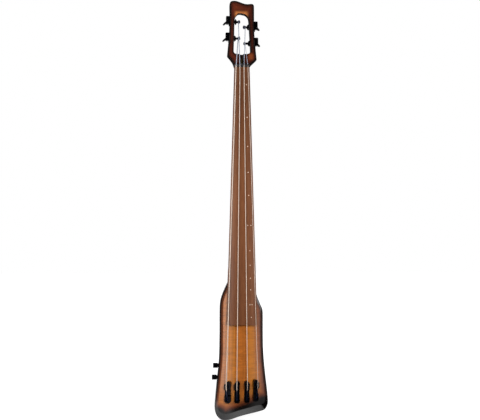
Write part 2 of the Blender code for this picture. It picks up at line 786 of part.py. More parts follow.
def nut_slot(name):
    """A round-bottomed slot along the string on both sides of the nut's front edge."""
    radius = string_radius(name) + FIT_GAP
    start = nut_point(name)
    behind, _, _, _ = post_tangent(name)
    towards_post = (behind - start).normalized() * (2.0 * NUT_LENGTH)
    towards_saddle = (saddle_point(name) - start).normalized() * NUT_LENGTH
    rings = []
    for middle in (start + towards_saddle, start, start + towards_post):
        ring = []
        for i in range(STRING_SIDES_IN_SLOT):
            angle = 2.0 * math.pi * i / STRING_SIDES_IN_SLOT
            ring.append((middle.x + radius * math.cos(angle), middle.y + radius * math.sin(angle),
                         middle.z))
        rings.append(ring)
    label = f"nut_slot_{name}"
    return add_object(label, mesh_from(label, loft(rings)), None)


def make_truss_rod():
    half = 0.5 * ROD_WIDTH
    bm = box((-half, GLUE_Y + FIT_GAP, ROD_BOTTOM_Z),
             (half, GLUE_Y + FIT_GAP + ROD_HEIGHT, NUT_Z + ACCESS_START_V))
    return add_object("truss_rod", mesh_from("truss_rod", bm), "steel")


def truss_nut_frame():
    middle_y = GLUE_Y + FIT_GAP + 0.5 * ROD_HEIGHT
    bottom = NUT_Z + ACCESS_START_V + FIT_GAP
    turn = Matrix.Rotation(math.radians(-90.0), 4, "Y")
    return Matrix.Translation((0.0, middle_y, bottom)) @ turn


def make_truss_nut():
    """A barrel nut with a hexagon socket that faces the window."""
    profile = [(0.0, 0.8 * TRUSS_NUT_RADIUS), (TRUSS_NUT_EDGE, TRUSS_NUT_RADIUS),
               (TRUSS_NUT_LENGTH - TRUSS_NUT_EDGE, TRUSS_NUT_RADIUS),
               (TRUSS_NUT_LENGTH, 0.85 * TRUSS_NUT_RADIUS)]
    nut = add_object("truss_nut", mesh_from("truss_nut", turned(profile, 20), 30), "brass",
                     truss_nut_frame())
    socket = turned([(TRUSS_NUT_LENGTH - TRUSS_KEY_DEPTH, TRUSS_KEY_RADIUS),
                     (TRUSS_NUT_LENGTH + CUT_OVERRUN, TRUSS_KEY_RADIUS)], 6)
    cut(nut, add_object("truss_socket", mesh_from("truss_socket", socket), None, truss_nut_frame()))
    return nut


# Strings

def post_tangent(name):
    """Where the string meets its post: the point, the post's axis point, the radius and the angle."""
    _, _, free_end = TUNERS[name]
    side = TUNERS[name][0]
    radius = POST_RADIUS + TURN_GAP + string_radius(name)
    pitch = STRING_DIAMETERS[name] + WRAP_GAP
    entry_x = side * (free_end + string_radius(name) + WRAP_GAP + WRAP_TURNS[name] * pitch)
    axis = post_frame(name).translation
    start = nut_point(name)
    dy = axis.y - start.y
    dz = axis.z - start.z
    distance = math.hypot(dy, dz)
    lean = math.asin(radius / distance)
    heading = math.atan2(dy, dz) - lean
    reach = math.sqrt(distance ** 2 - radius ** 2)
    point = Vector((entry_x, start.y + reach * math.sin(heading), start.z + reach * math.cos(heading)))
    angle = math.atan2(point.y - axis.y, point.z - axis.z)
    return point, axis, radius, angle


def wrap_points(name):
    """The turns on the post, from the tangent point towards the post's free end."""
    side = TUNERS[name][0]
    first, axis, radius, angle = post_tangent(name)
    pitch = STRING_DIAMETERS[name] + WRAP_GAP
    count = round(WRAP_TURNS[name] * WRAP_POINTS)
    points = []
    for i in range(count + 1):
        turn = i / WRAP_POINTS
        bearing = angle + 2.0 * math.pi * turn
        points.append(Vector((first.x - side * pitch * turn, axis.y + radius * math.sin(bearing),
                              axis.z + radius * math.cos(bearing))))
    return points


def least_wrap_gap(points, radius):
    """Least gap between turns that aren't neighbours along the string."""
    apart = WRAP_POINTS // 2
    least = math.inf
    for i, point in enumerate(points):
        for other in points[i + apart:]:
            least = min(least, (other - point).length - 2.0 * radius)
    return least


def make_string(name):
    radius = string_radius(name)
    anchor = anchor_point(name)
    saddle = saddle_point(name)
    run = (saddle - anchor).normalized()
    wraps = wrap_points(name)
    ball_back = anchor - run * BALL_LENGTH
    points = [(ball_back, BALL_RADIUS), (anchor, BALL_RADIUS), (anchor + run * STEP_RUN, radius),
              (saddle, radius), (nut_point(name), radius)]
    points += [(point, radius) for point in wraps]
    curve = bpy.data.curves.new(f"string_{name}", "CURVE")
    curve.dimensions = "3D"
    curve.bevel_depth = radius
    curve.bevel_resolution = 1
    curve.use_fill_caps = True
    spline = curve.splines.new("POLY")
    spline.points.add(len(points) - 1)
    for slot, (point, size) in zip(spline.points, points):
        slot.co = (*point, 1.0)
        slot.radius = size / radius
    gap = least_wrap_gap(wraps, radius)
    print(f"string_{name}: least gap between turns {gap * 1000:.2f} mm")
    return add_object(f"string_{name}", curve, "string_steel")


# Bridges

def make_bridge_rail(name):
    """A bridge rail: domed head, low bed, saddle pocket, string groove and ball pocket."""
    half = max(RAIL_REACH[name]) + CUT_OVERRUN
    head_end = RAIL_HEAD_LENGTH
    tail_start = RAIL_LENGTH - RAIL_TAIL_LENGTH
    slope = RAIL_SLOPE
    profile = [(0.0, FIT_GAP), (RAIL_LENGTH, FIT_GAP), (RAIL_LENGTH, 0.6 * RAIL_TAIL_HEIGHT),
               (RAIL_LENGTH - 0.5 * slope, RAIL_TAIL_HEIGHT), (tail_start, RAIL_TAIL_HEIGHT),
               (tail_start - slope, RAIL_BED_HEIGHT), (head_end + slope, RAIL_BED_HEIGHT),
               (head_end, RAIL_HEAD_HEIGHT), (0.5 * slope, RAIL_HEAD_HEIGHT),
               (0.0, 0.7 * RAIL_HEAD_HEIGHT)]
    place = rail_frame(name)
    bm = loft([[(x, height, along) for along, height in profile] for x in (-half, half)])
    rail = add_object(f"bridge_rail_{name}", mesh_from(f"bridge_rail_{name}", bm, 30),
                      "black_metal", place)
    label = f"rail_outline_{name}"
    plan = extruded(rail_outline(name), -CUT_OVERRUN, RAIL_HEAD_HEIGHT + CUT_OVERRUN)
    combine(rail, add_object(label, mesh_from(label, plan), None, place), "INTERSECT")
    groove = 0.5 * RAIL_GROOVE_WIDTH
    label = f"rail_groove_{name}"
    above = RAIL_HEAD_HEIGHT + CUT_OVERRUN
    bm = box((-groove, RAIL_GROOVE_FLOOR, head_end - slope),
             (groove, above, ANCHOR_FROM_RAIL_TOP + 0.5 * BALL_LENGTH))
    cut(rail, add_object(label, mesh_from(label, bm), None, place))
    label = f"ball_pocket_{name}"
    room = BALL_RADIUS + 2.0 * FIT_GAP
    bm = box((-room, BALL_POCKET_FLOOR, ANCHOR_FROM_RAIL_TOP - BALL_POCKET_PLAY),
             (room, above, ANCHOR_FROM_RAIL_TOP + BALL_LENGTH + BALL_POCKET_PLAY))
    cut(rail, add_object(label, mesh_from(label, bm), None, place))
    label = f"saddle_pocket_{name}"
    wide = 0.5 * SADDLE_WIDTH + FIT_GAP
    long = 0.5 * SADDLE_LENGTH + FIT_GAP
    bm = box((-wide, SADDLE_POCKET_FLOOR, SADDLE_FROM_RAIL_TOP - long),
             (wide, above, SADDLE_FROM_RAIL_TOP + long))
    cut(rail, add_object(label, mesh_from(label, bm), None, place))
    return rail


def rail_outline(name):
    """Dome on the inner side, saddle's side on the outer one, drawn-in waist and round tail."""
    outer, inner = RAIL_REACH[name]
    inward = -1 if string_index(name) > 0 else 1
    dome_x = inner - RAIL_DOME_RADIUS
    tail_radius = 0.5 * (outer + inner)
    tail_along = RAIL_LENGTH - tail_radius
    side_top = SADDLE_FROM_RAIL_TOP - 0.5 * SADDLE_LENGTH - FIT_GAP - SADDLE_SIDE_WALL
    side_end = SADDLE_FROM_RAIL_TOP + 0.5 * SADDLE_LENGTH + FIT_GAP + SADDLE_SIDE_WALL
    side_x = max(outer, SADDLE_SIDE_REACH)
    corner = min(SADDLE_SIDE_ROUND, side_x + dome_x - RAIL_DOME_RADIUS - FIT_GAP)
    steps = 6
    points = arc_points(dome_x, RAIL_DOME_RADIUS, RAIL_DOME_RADIUS, 180.0, 0.0, 2 * steps)
    for i in range(1, steps):
        share = i / steps
        along = RAIL_DOME_RADIUS + (tail_along - RAIL_DOME_RADIUS) * share
        points.append((inner - RAIL_WAIST * math.sin(math.pi * share) ** 2, along))
    points += arc_points(0.5 * (inner - outer), tail_along, tail_radius, 0.0, -180.0, 2 * steps)
    for i in range(1, steps):
        share = i / steps
        along = tail_along + (side_end + RAIL_SLOPE - tail_along) * share
        points.append((-outer + RAIL_WAIST * math.sin(0.5 * math.pi * share) ** 2, along))
    points.append((-side_x, side_end))
    points += arc_points(corner - side_x, side_top + corner, corner, 180.0, 90.0, 3)
    return [(inward * x, along) for x, along in points]


def arc_points(middle_x, middle_along, radius, start, end, steps):
    """Points of an arc whose angles are in degrees, from +X towards the rail's top."""
    points = []
    for i in range(steps + 1):
        angle = math.radians(start + (end - start) * i / steps)
        points.append((middle_x + radius * math.cos(angle), middle_along - radius * math.sin(angle)))
    return points


def make_piezo(name):
    half = 0.5 * SADDLE_WIDTH - FIT_GAP
    long = 0.5 * SADDLE_LENGTH - FIT_GAP
    bottom = SADDLE_POCKET_FLOOR + FIT_GAP
    bm = box((-half, bottom, SADDLE_FROM_RAIL_TOP - long),
             (half, bottom + PIEZO_THICKNESS, SADDLE_FROM_RAIL_TOP + long))
    return add_object(f"piezo_{name}", mesh_from(f"piezo_{name}", bm), "ceramic", rail_frame(name))


def make_saddle(name):
    """A block with a round crown under the string, square to it."""
    half = 0.5 * SADDLE_WIDTH
    bottom = SADDLE_POCKET_FLOOR + PIEZO_THICKNESS + 2.0 * FIT_GAP
    top = STRING_ABOVE_TOP - string_radius(name) - FIT_GAP
    crown = top - SADDLE_ROUND
    middle = SADDLE_FROM_RAIL_TOP
    ring = [(middle - 0.5 * SADDLE_LENGTH, bottom), (middle + 0.5 * SADDLE_LENGTH, bottom)]
    steps = 8
    for i in range(steps + 1):
        angle = math.pi * i / steps
        along = middle + 0.5 * SADDLE_LENGTH * math.cos(angle)
        ring.append((along, crown + SADDLE_ROUND * math.sin(angle)))
    rings = []
    chamfer = SADDLE_CHAMFER
    for x, shrink in ((-half, chamfer), (-half + chamfer, 0.0), (half - chamfer, 0.0), (half, chamfer)):
        rings.append([(x, height - (shrink if height > crown - 1e-9 else 0.0), along)
                      for along, height in ring])
    return add_object(f"saddle_{name}", mesh_from(f"saddle_{name}", loft(rings), 30), "brass",
                      rail_frame(name))


# Tuners

def make_tuner_housing(name):
    """A closed gear case with a screw tab; its cavity opens on the headstock for gear and worm."""
    side = TUNERS[name][0]
    near = side * (seat_x(name) + FIT_GAP)
    far = near + side * HOUSING_DEPTH
    low, high = -HOUSING_BELOW, HOUSING_ABOVE
    half = 0.5 * HOUSING_WIDTH
    middle = 0.5 * (low + high)
    tall = 0.5 * (high - low)
    outline = rounded_rectangle(0.0, middle, HOUSING_WIDTH, high - low, HOUSING_CORNER, 3)
    rings = []
    for x, inset in ((near, 0.0), (far - side * HOUSING_EDGE, 0.0), (far, HOUSING_EDGE)):
        rings.append([(x, y * (half - inset) / half, middle + (z - middle) * (tall - inset) / tall)
                      for y, z in outline])
    place = post_frame(name)
    label = f"tuner_housing_{name}"
    housing = add_object(label, mesh_from(label, loft(rings), 30), "black_metal", place)
    tab_outline = rounded_rectangle(0.0, low + 0.5 * (TAB_OVERLAP - TAB_LENGTH), TAB_WIDTH,
                                    TAB_LENGTH + TAB_OVERLAP, HOUSING_CORNER, 3)
    label = f"tuner_tab_{name}"
    tab = loft([[(near, y, z) for y, z in tab_outline],
                [(near + side * TAB_THICKNESS, y, z) for y, z in tab_outline]])
    join(housing, add_object(label, mesh_from(label, tab), None, place))
    label = f"gear_room_{name}"
    deep = far - side * HOUSING_WALL
    wall = half - HOUSING_WALL
    mouth = near - side * CUT_OVERRUN
    room = box((min(mouth, deep), -wall, low + HOUSING_WALL),
               (max(mouth, deep), wall, high - 2.0 * HOUSING_WALL))
    cut(housing, add_object(label, mesh_from(label, room), None, place))
    label = f"key_hole_{name}"
    radius = KEY_SHAFT_RADIUS + TURN_GAP
    hole = turned([(0.0, radius), (HOUSING_WIDTH, radius)], POST_SIDES)
    turn = key_frame(name) @ Matrix.Rotation(math.radians(90.0), 4, "Z")
    cut(housing, add_object(label, mesh_from(label, hole), None, turn))
    return housing


def make_tuner_bushing(name):
    """A sleeve through the side rail with a flared nut in the window."""
    side = TUNERS[name][0]
    wall = window_x(name) - FIT_GAP
    sleeve = POST_RADIUS + TURN_GAP + BUSHING_WALL
    profile = [(seat_x(name), sleeve), (wall, sleeve), (wall - STEP_RUN, FLARE_RADIUS),
               (wall - 0.3 * FLARE_LENGTH, FLARE_RADIUS), (wall - FLARE_LENGTH, FLARE_TIP_RADIUS)]
    place = post_frame(name)
    label = f"tuner_bushing_{name}"
    bm = turned([(side * x, radius) for x, radius in profile], POST_SIDES)
    bushing = add_object(label, mesh_from(label, bm, 30), "black_metal", place)
    label = f"bushing_bore_{name}"
    bore = turned([(side * (seat_x(name) + CUT_OVERRUN), POST_RADIUS + TURN_GAP),
                   (side * (wall - FLARE_LENGTH - CUT_OVERRUN), POST_RADIUS + TURN_GAP)], POST_SIDES)
    cut(bushing, add_object(label, mesh_from(label, bore), None, place))
    return bushing


def gear_outline():
    points = []
    for i in range(GEAR_TEETH * 2):
        angle = math.pi * i / GEAR_TEETH
        radius = GEAR_RADIUS + (GEAR_TOOTH if i % 2 else 0.0)
        points.append((radius * math.cos(angle), radius * math.sin(angle)))
    return points


def make_tuner_post(name):
    """The string post with its worm wheel inside the housing."""
    side, _, free_end = TUNERS[name]
    middle = seat_x(name) + FIT_GAP + 0.5 * HOUSING_DEPTH
    outer = middle + 0.5 * GEAR_THICKNESS
    inner = middle - 0.5 * GEAR_THICKNESS
    place = post_frame(name)
    label = f"tuner_post_{name}"
    profile = [(outer - 0.25 * GEAR_THICKNESS, POST_RADIUS), (free_end + POST_EDGE, POST_RADIUS),
               (free_end, POST_RADIUS - POST_EDGE)]
    bm = turned([(side * x, radius) for x, radius in profile], POST_SIDES)
    post = add_object(label, mesh_from(label, bm, 30), "black_metal", place)
    label = f"worm_wheel_{name}"
    wheel = loft([[(side * x, y, z) for y, z in gear_outline()] for x in (inner, outer)])
    join(post, add_object(label, mesh_from(label, wheel), None, place))
    return post


def make_tuner_key(name):
    """Worm, shaft, collar and leaf in one, turning about local Y."""
    side = TUNERS[name][0]
    half = 0.5 * WORM_LENGTH
    behind = 0.5 * HOUSING_WIDTH
    profile = [(-half, 0.7 * WORM_RADIUS)]
    pitch = WORM_LENGTH / (WORM_TURNS + 0.5)
    for i in range(WORM_TURNS):
        start = -half + pitch * (i + 0.25)
        profile += [(start, WORM_RADIUS), (start + 0.5 * pitch, WORM_RADIUS + WORM_THREAD)]
    collar = behind + TURN_GAP
    neck = collar + KEY_COLLAR_LENGTH
    leaf = neck + KEY_NECK_LENGTH
    profile += [(half, WORM_RADIUS), (half + STEP_RUN, KEY_SHAFT_RADIUS), (collar, KEY_SHAFT_RADIUS),
                (collar + STEP_RUN, KEY_COLLAR_RADIUS), (neck, KEY_COLLAR_RADIUS),
                (neck + KEY_SHOULDER, KEY_SHAFT_RADIUS), (leaf, KEY_SHAFT_RADIUS),
                (leaf + KEY_TIP, 0.8 * KEY_SHAFT_RADIUS)]
    place = key_frame(name)
    quarter = Matrix.Rotation(math.radians(90.0), 4, "Z")
    bm = turned(profile, 12)
    bmesh.ops.transform(bm, matrix=quarter, verts=bm.verts)
    label = f"tuner_key_{name}"
    key = add_object(label, mesh_from(label, bm, 30), "black_metal", place)
    label = f"key_leaf_{name}"
    bm = leaf_mesh(leaf)
    bmesh.ops.transform(bm, matrix=Matrix.Rotation(side * LEAF_ANGLE, 4, "Y"), verts=bm.verts)
    join(key, add_object(label, mesh_from(label, bm), None, place))
    return key


def leaf_mesh(start):
    """The leaf: two rounded lobes in one plane with the shaft, with a slight waist at the end."""
    half = 0.5 * LEAF_SPAN
    quarter = [(0.0, 0.0), (0.45, 0.04), (0.85, 0.22), (1.0, 0.50), (0.90, 0.80), (0.62, 0.98),
               (0.30, 0.97)]
    run = [(x * half, start + LEAF_LENGTH * y) for x, y in quarter]
    run = smooth_run(run, 2)
    outline = run + [(0.0, start + 0.90 * LEAF_LENGTH)] + [(-x, y) for x, y in reversed(run[1:])]
    middle_y = start + 0.5 * LEAF_LENGTH
    rings = []
    thick = 0.5 * LEAF_THICKNESS
    flat = thick - LEAF_EDGE
    for z, shrink in ((-thick, 0.94), (-flat, 1.0), (flat, 1.0), (thick, 0.94)):
        rings.append([(x * shrink, middle_y + (y - middle_y) * shrink, z) for x, y in outline])
    return loft(rings)


# Controls

def knob_frame(name):
    z = KNOB_Z[name]
    turn = Matrix.Rotation(math.radians(180.0), 4, "Z")
    return Matrix.Translation((left_wall_x(z) - KNOB_STAND_OFF, CONTROL_Y, z)) @ turn


def make_knob(name):
    """A black barrel knob with a bore for its shaft and a pointer groove."""
    profile = [(0.0, KNOB_RADIUS - KNOB_EDGE), (KNOB_EDGE, KNOB_RADIUS),
               (KNOB_HEIGHT - KNOB_EDGE, KNOB_RADIUS), (KNOB_HEIGHT, KNOB_RADIUS - KNOB_EDGE)]
    place = knob_frame(name)
    label = f"{name}_knob"
    knob = add_object(label, mesh_from(label, turned(profile, 28), 30), "black_metal", place)
    label = f"{name}_knob_bore"
    radius = SHAFT_RADIUS + FIT_GAP
    bore = turned([(-CUT_OVERRUN, radius), (SHAFT_IN_KNOB + FIT_GAP, radius)], 16)
    cut(knob, add_object(label, mesh_from(label, bore), None, place))
    label = f"{name}_knob_mark"
    half = 0.5 * KNOB_MARK_WIDTH
    mark = box((KNOB_HEIGHT - KNOB_MARK_DEPTH, -half, 0.3 * KNOB_RADIUS),
               (KNOB_HEIGHT + CUT_OVERRUN, half, KNOB_RADIUS + CUT_OVERRUN))
    cut(knob, add_object(label, mesh_from(label, mark), None, place))
    return knob


def make_shaft(name):
    """The turning shaft, from inside the pot to inside the knob."""
    start = knob_frame(name).translation.x - (CAVITY_WALL_X + FIT_GAP + 0.6 * POT_LENGTH)
    bm = turned([(start, SHAFT_RADIUS), (SHAFT_IN_KNOB, SHAFT_RADIUS)], 16)
    label = f"{name}_shaft"
    return add_object(label, mesh_from(label, bm, 30), "steel", knob_frame(name))


def pot_frame(name):
    return Matrix.Translation((CAVITY_WALL_X + FIT_GAP, CONTROL_Y, KNOB_Z[name]))


def make_pot(name):
    """The pot's can in the cavity and its threaded neck through the side wall."""
    outside = left_wall_x(KNOB_Z[name]) - (CAVITY_WALL_X + FIT_GAP)
    profile = [(outside, POT_THREAD_RADIUS), (0.0, POT_THREAD_RADIUS), (STEP_RUN, POT_RADIUS),
               (POT_LENGTH, POT_RADIUS)]
    place = pot_frame(name)
    label = f"{name}_pot"
    pot = add_object(label, mesh_from(label, turned(profile, 20), 30), "steel", place)
    label = f"{name}_pot_bore"
    bore = turned([(outside - CUT_OVERRUN, SHAFT_RADIUS + TURN_GAP),
                   (0.6 * POT_LENGTH + TURN_GAP, SHAFT_RADIUS + TURN_GAP)], 16)
    cut(pot, add_object(label, mesh_from(label, bore), None, place))
    return pot


def cut_control_cavity(back):
    middle_x = CAVITY_WALL_X + 0.5 * CAVITY_WIDTH
    middle_z = 0.5 * (CAVITY_BOTTOM_Z + CAVITY_TOP_Z)
    height = CAVITY_TOP_Z - CAVITY_BOTTOM_Z
    room = rounded_rectangle(middle_x, middle_z, CAVITY_WIDTH, height, CAVITY_CORNER, 3)
    bm = extruded(room, CUT_OVERRUN, -CAVITY_DEPTH)
    cut(back, add_object("cavity_room", mesh_from("cavity_room", bm), None))
    lip = rounded_rectangle(middle_x, middle_z, CAVITY_WIDTH + 2.0 * COVER_LIP,
                            height + 2.0 * COVER_LIP, COVER_CORNER, 4)
    bm = extruded(lip, CUT_OVERRUN, -(COVER_THICKNESS + FIT_GAP))
    cut(back, add_object("cavity_lip", mesh_from("cavity_lip", bm), None))
    for name in KNOB_Z:
        radius = POT_THREAD_RADIUS + FIT_GAP
        outside = left_wall_x(KNOB_Z[name]) - CAVITY_WALL_X - KNOB_RADIUS
        hole = turned([(outside, radius), (2.0 * CUT_OVERRUN, radius)], 16)
        label = f"{name}_pot_hole"
        cut(back, add_object(label, mesh_from(label, hole), None, pot_frame(name)))


def make_control_cover():
    middle_x = CAVITY_WALL_X + 0.5 * CAVITY_WIDTH
    middle_z = 0.5 * (CAVITY_BOTTOM_Z + CAVITY_TOP_Z)
    grow = 2.0 * (COVER_LIP - FIT_GAP)
    outline = rounded_rectangle(middle_x, middle_z, CAVITY_WIDTH + grow,
                                CAVITY_TOP_Z - CAVITY_BOTTOM_Z + grow, COVER_CORNER - FIT_GAP, 4)
    bm = extruded(outline, 0.0, -COVER_THICKNESS)
    return add_object("control_cover", mesh_from("control_cover", bm), "black_plastic")


def make_preamp_board():
    """The circuit board on the cavity's floor wall, with its parts on it."""
    right = CAVITY_WALL_X + CAVITY_WIDTH - FIT_GAP
    top = CAVITY_TOP_Z - BOARD_FROM_TOP
    floor = -CAVITY_DEPTH + FIT_GAP
    bm = box((right - BOARD_THICKNESS, floor, top - BOARD_LENGTH), (right, floor + BOARD_WIDTH, top))
    board = add_object("preamp_board", mesh_from("preamp_board", bm), "board_green")
    for i, (share, high, wide, long) in enumerate(BOARD_PARTS):
        z = top - BOARD_LENGTH * share
        y = floor + 0.5 * (BOARD_WIDTH - wide)
        label = f"board_part_{i}"
        bm = box((right - BOARD_THICKNESS - high, y, z - long),
                 (right - 0.4 * BOARD_THICKNESS, y + wide, z))
        join(board, add_object(label, mesh_from(label, bm), None))
    return board


# Battery box

def box_outer():
    """Low and high corners of the battery box, whose mouth is at the back."""
    half = 0.5 * BATTERY_WIDTH + BATTERY_PLAY + BOX_WALL
    length = BATTERY_LENGTH + 2.0 * BATTERY_PLAY + 2.0 * BOX_WALL + DOOR_THICKNESS
    depth = DOOR_THICKNESS + FIT_GAP + BATTERY_DEPTH + BATTERY_PLAY + BOX_WALL
    return ((BOX_MIDDLE_X - half, -depth, BOX_TOP_Z - length), (BOX_MIDDLE_X + half, 0.0, BOX_TOP_Z))


def cut_battery_pocket(back):
    low, high = box_outer()
    bm = box([value - FIT_GAP for value in low],
             (high[0] + FIT_GAP, CUT_OVERRUN, high[2] + FIT_GAP))
    cut(back, add_object("battery_pocket", mesh_from("battery_pocket", bm), None))


def make_battery_box():
    """An open tray with a step that the door shuts on and holes for the door's pin."""
    low, high = box_outer()
    tray = add_object("battery_box", mesh_from("battery_box", box(low, high)), "black_plastic")
    inside_low = (low[0] + BOX_WALL, low[1] + BOX_WALL, low[2] + BOX_WALL)
    inside_high = (high[0] - BOX_WALL, CUT_OVERRUN, high[2] - BOX_WALL - DOOR_THICKNESS)
    cut(tray, add_object("tray_room", mesh_from("tray_room", box(inside_low, inside_high)), None))
    door_low, door_high = door_corners()
    gap = TURN_GAP
    recess = box((door_low[0] - gap, -DOOR_THICKNESS - gap, door_low[2] - gap),
                 (door_high[0] + gap, CUT_OVERRUN, door_high[2] + DOOR_SWING_GAP))
    cut(tray, add_object("door_recess", mesh_from("door_recess", recess), None))
    reach = PIN_REACH + FIT_GAP
    hole = turned([(door_low[0] - reach, DOOR_PIN_RADIUS + FIT_GAP),
                   (door_high[0] + reach, DOOR_PIN_RADIUS + FIT_GAP)], 12)
    place = Matrix.Translation((0.0, *hinge_yz()))
    cut(tray, add_object("pin_holes", mesh_from("pin_holes", hole), None, place))
    return tray


def door_corners():
    low, high = box_outer()
    side = DOOR_SEAT + TURN_GAP
    top = high[2] - DOOR_SEAT - DOOR_SWING_GAP
    return ((low[0] + side, -DOOR_THICKNESS, low[2] + side), (high[0] - side, 0.0, top))


def hinge_yz():
    _, high = door_corners()
    return (-0.5 * DOOR_THICKNESS, high[2] - 0.5 * DOOR_THICKNESS)


def make_battery_door():
    """A flap hinged at its top edge, round about the pin, with a finger notch at its foot."""
    low, high = door_corners()
    hinge_y, hinge_z = hinge_yz()
    radius = 0.5 * DOOR_THICKNESS
    ring = [(-hinge_y, low[2] - hinge_z), (-DOOR_THICKNESS - hinge_y, low[2] - hinge_z)]
    steps = 8
    for i in range(steps + 1):
        angle = math.pi * i / steps
        ring.append((-radius * math.cos(angle), radius * math.sin(angle)))
    bm = loft([[(x, y, z) for y, z in ring] for x in (low[0], high[0])])
    place = Matrix.Translation((0.0, hinge_y, hinge_z))
    door = add_object("battery_door", mesh_from("battery_door", bm, 40), "black_plastic", place)
    radius = DOOR_PIN_RADIUS + TURN_GAP
    bore = turned([(low[0] - CUT_OVERRUN, radius), (high[0] + CUT_OVERRUN, radius)], 12)
    cut(door, add_object("door_bore", mesh_from("door_bore", bore), None, place))
    half = 0.5 * NOTCH_WIDTH
    notch = turned([(BOX_MIDDLE_X - half, NOTCH_RADIUS), (BOX_MIDDLE_X + half, NOTCH_RADIUS)], 16)
    foot = Matrix.Translation((0.0, 0.2 * NOTCH_RADIUS, low[2] + 0.2 * NOTCH_RADIUS))
    cut(door, add_object("door_notch", mesh_from("door_notch", notch), None, foot))
    return door


def make_door_pin():
    low, high = door_corners()
    bm = turned([(low[0] - PIN_REACH, DOOR_PIN_RADIUS), (high[0] + PIN_REACH, DOOR_PIN_RADIUS)], 10)
    place = Matrix.Translation((0.0, *hinge_yz()))
    return add_object("door_pin", mesh_from("door_pin", bm, 30), "steel", place)


def make_battery():
    """A nine volt block with its two terminals."""
    low, _ = box_outer()
    half = 0.5 * BATTERY_WIDTH
    y = low[1] + BOX_WALL + FIT_GAP
    z = low[2] + BOX_WALL + FIT_GAP
    body_length = BATTERY_LENGTH - TERMINAL_HEIGHT
    bm = box((BOX_MIDDLE_X - half, y, z), (BOX_MIDDLE_X + half, y + BATTERY_DEPTH, z + body_length))
    battery = add_object("battery", mesh_from("battery", bm), "battery_shell")
    for i, side in enumerate((-0.5, 0.5)):
        label = f"terminal_{i}"
        knob = turned([(-CUT_OVERRUN, TERMINAL_RADIUS), (TERMINAL_HEIGHT, TERMINAL_RADIUS)], 12)
        turn = Matrix.Rotation(math.radians(-90.0), 4, "Y")
        x = BOX_MIDDLE_X + side * TERMINAL_SPACING
        place = Matrix.Translation((x, y + 0.5 * BATTERY_DEPTH, z + body_length)) @ turn
        join(battery, add_object(label, mesh_from(label, knob), None, place))
    return battery


# Output jack and stand plate

def jack_frame():
    return Matrix.Translation((JACK_X, 0.0, JACK_Z)) @ Matrix.Rotation(math.radians(90.0), 4, "Z")


def cut_jack_hole(back):
    radius = JACK_BARREL_RADIUS + FIT_GAP
    hole = turned([(CUT_OVERRUN, radius), (-(JACK_LENGTH + FIT_GAP), radius)], 20)
    cut(back, add_object("jack_hole", mesh_from("jack_hole", hole), None, jack_frame()))


def make_output_jack():
    """The socket: a round face plate on the back and a barrel with a stepped bore."""
    face = FIT_GAP + JACK_PLATE_THICKNESS
    profile = [(face, JACK_PLATE_RADIUS - JACK_EDGE), (face - JACK_EDGE, JACK_PLATE_RADIUS),
               (FIT_GAP, JACK_PLATE_RADIUS), (FIT_GAP - STEP_RUN, JACK_BARREL_RADIUS),
               (-JACK_LENGTH, JACK_BARREL_RADIUS)]
    bm = turned(profile, 24)
    jack = add_object("output_jack", mesh_from("output_jack", bm, 30), "black_metal", jack_frame())
    bottom = -(JACK_LENGTH - JACK_END_WALL)
    bore = turned([(face + CUT_OVERRUN, JACK_BORE_RADIUS), (bottom, JACK_BORE_RADIUS)], 32)
    cut(jack, add_object("jack_bore", mesh_from("jack_bore", bore), None, jack_frame()))
    return jack


def cut_plate_seat(back):
    outline = rounded_rectangle(0.0, 0.0, PLATE_WIDTH + 2.0 * FIT_GAP, PLATE_LENGTH + 2.0 * FIT_GAP,
                                PLATE_CORNER, 4)
    bm = extruded(outline, CUT_OVERRUN, -(PLATE_THICKNESS + FIT_GAP))
    cut(back, add_object("plate_recess", mesh_from("plate_recess", bm), None))
    for i, place in enumerate(plate_hole_frames()):
        room = turned([(-BOLT_ROOM_DEPTH, BOLT_ROOM_RADIUS), (CUT_OVERRUN, BOLT_ROOM_RADIUS)], 16)
        label = f"bolt_room_{i}"
        cut(back, add_object(label, mesh_from(label, room), None, place))


def plate_hole_frames():
    """Frames on the back at the two holes, x pointing out of them."""
    turn = Matrix.Rotation(math.radians(90.0), 4, "Z")
    half = 0.5 * PLATE_HOLE_SPACING
    return [Matrix.Translation((0.0, 0.0, z)) @ turn for z in (-half, half)]


def make_stand_plate():
    """The steel plate, flush with the back, with two threaded holes for the stand."""
    outline = rounded_rectangle(0.0, 0.0, PLATE_WIDTH, PLATE_LENGTH, PLATE_CORNER - FIT_GAP, 4)
    bm = extruded(outline, 0.0, -PLATE_THICKNESS)
    plate = add_object("stand_plate", mesh_from("stand_plate", bm), "steel")
    for i, place in enumerate(plate_hole_frames()):
        hole = turned([(-PLATE_THICKNESS - CUT_OVERRUN, PLATE_HOLE_RADIUS),
                       (CUT_OVERRUN, PLATE_HOLE_RADIUS)], 32)
        label = f"plate_hole_{i}"
        cut(plate, add_object(label, mesh_from(label, hole), None, place))
    return plate


def report_axes():
    """Prints where each moving piece turns, in metres."""
    for name in STRING_NAMES:
        turning = (("key", key_frame(name), (0, 1, 0)), ("post", post_frame(name), (1, 0, 0)))
        for label, frame, axis in turning:
            point = frame.translation
            direction = frame.to_3x3() @ Vector(axis)
            print(f"tuner_{label}_{name} at {point.x:.5f} {point.y:.5f} {point.z:.5f}"
                  f" along {direction.x:.5f} {direction.y:.5f} {direction.z:.5f}")
    for name in KNOB_Z:
        point = knob_frame(name).translation
        print(f"{name}_knob at {point.x:.5f} {point.y:.5f} {point.z:.5f} along -X")
    point = truss_nut_frame().translation
    print(f"truss_nut at {point.x:.5f} {point.y:.5f} {point.z:.5f} along +Z")
    print("battery_door hinge at y, z:", *(f"{value:.5f}" for value in hinge_yz()))


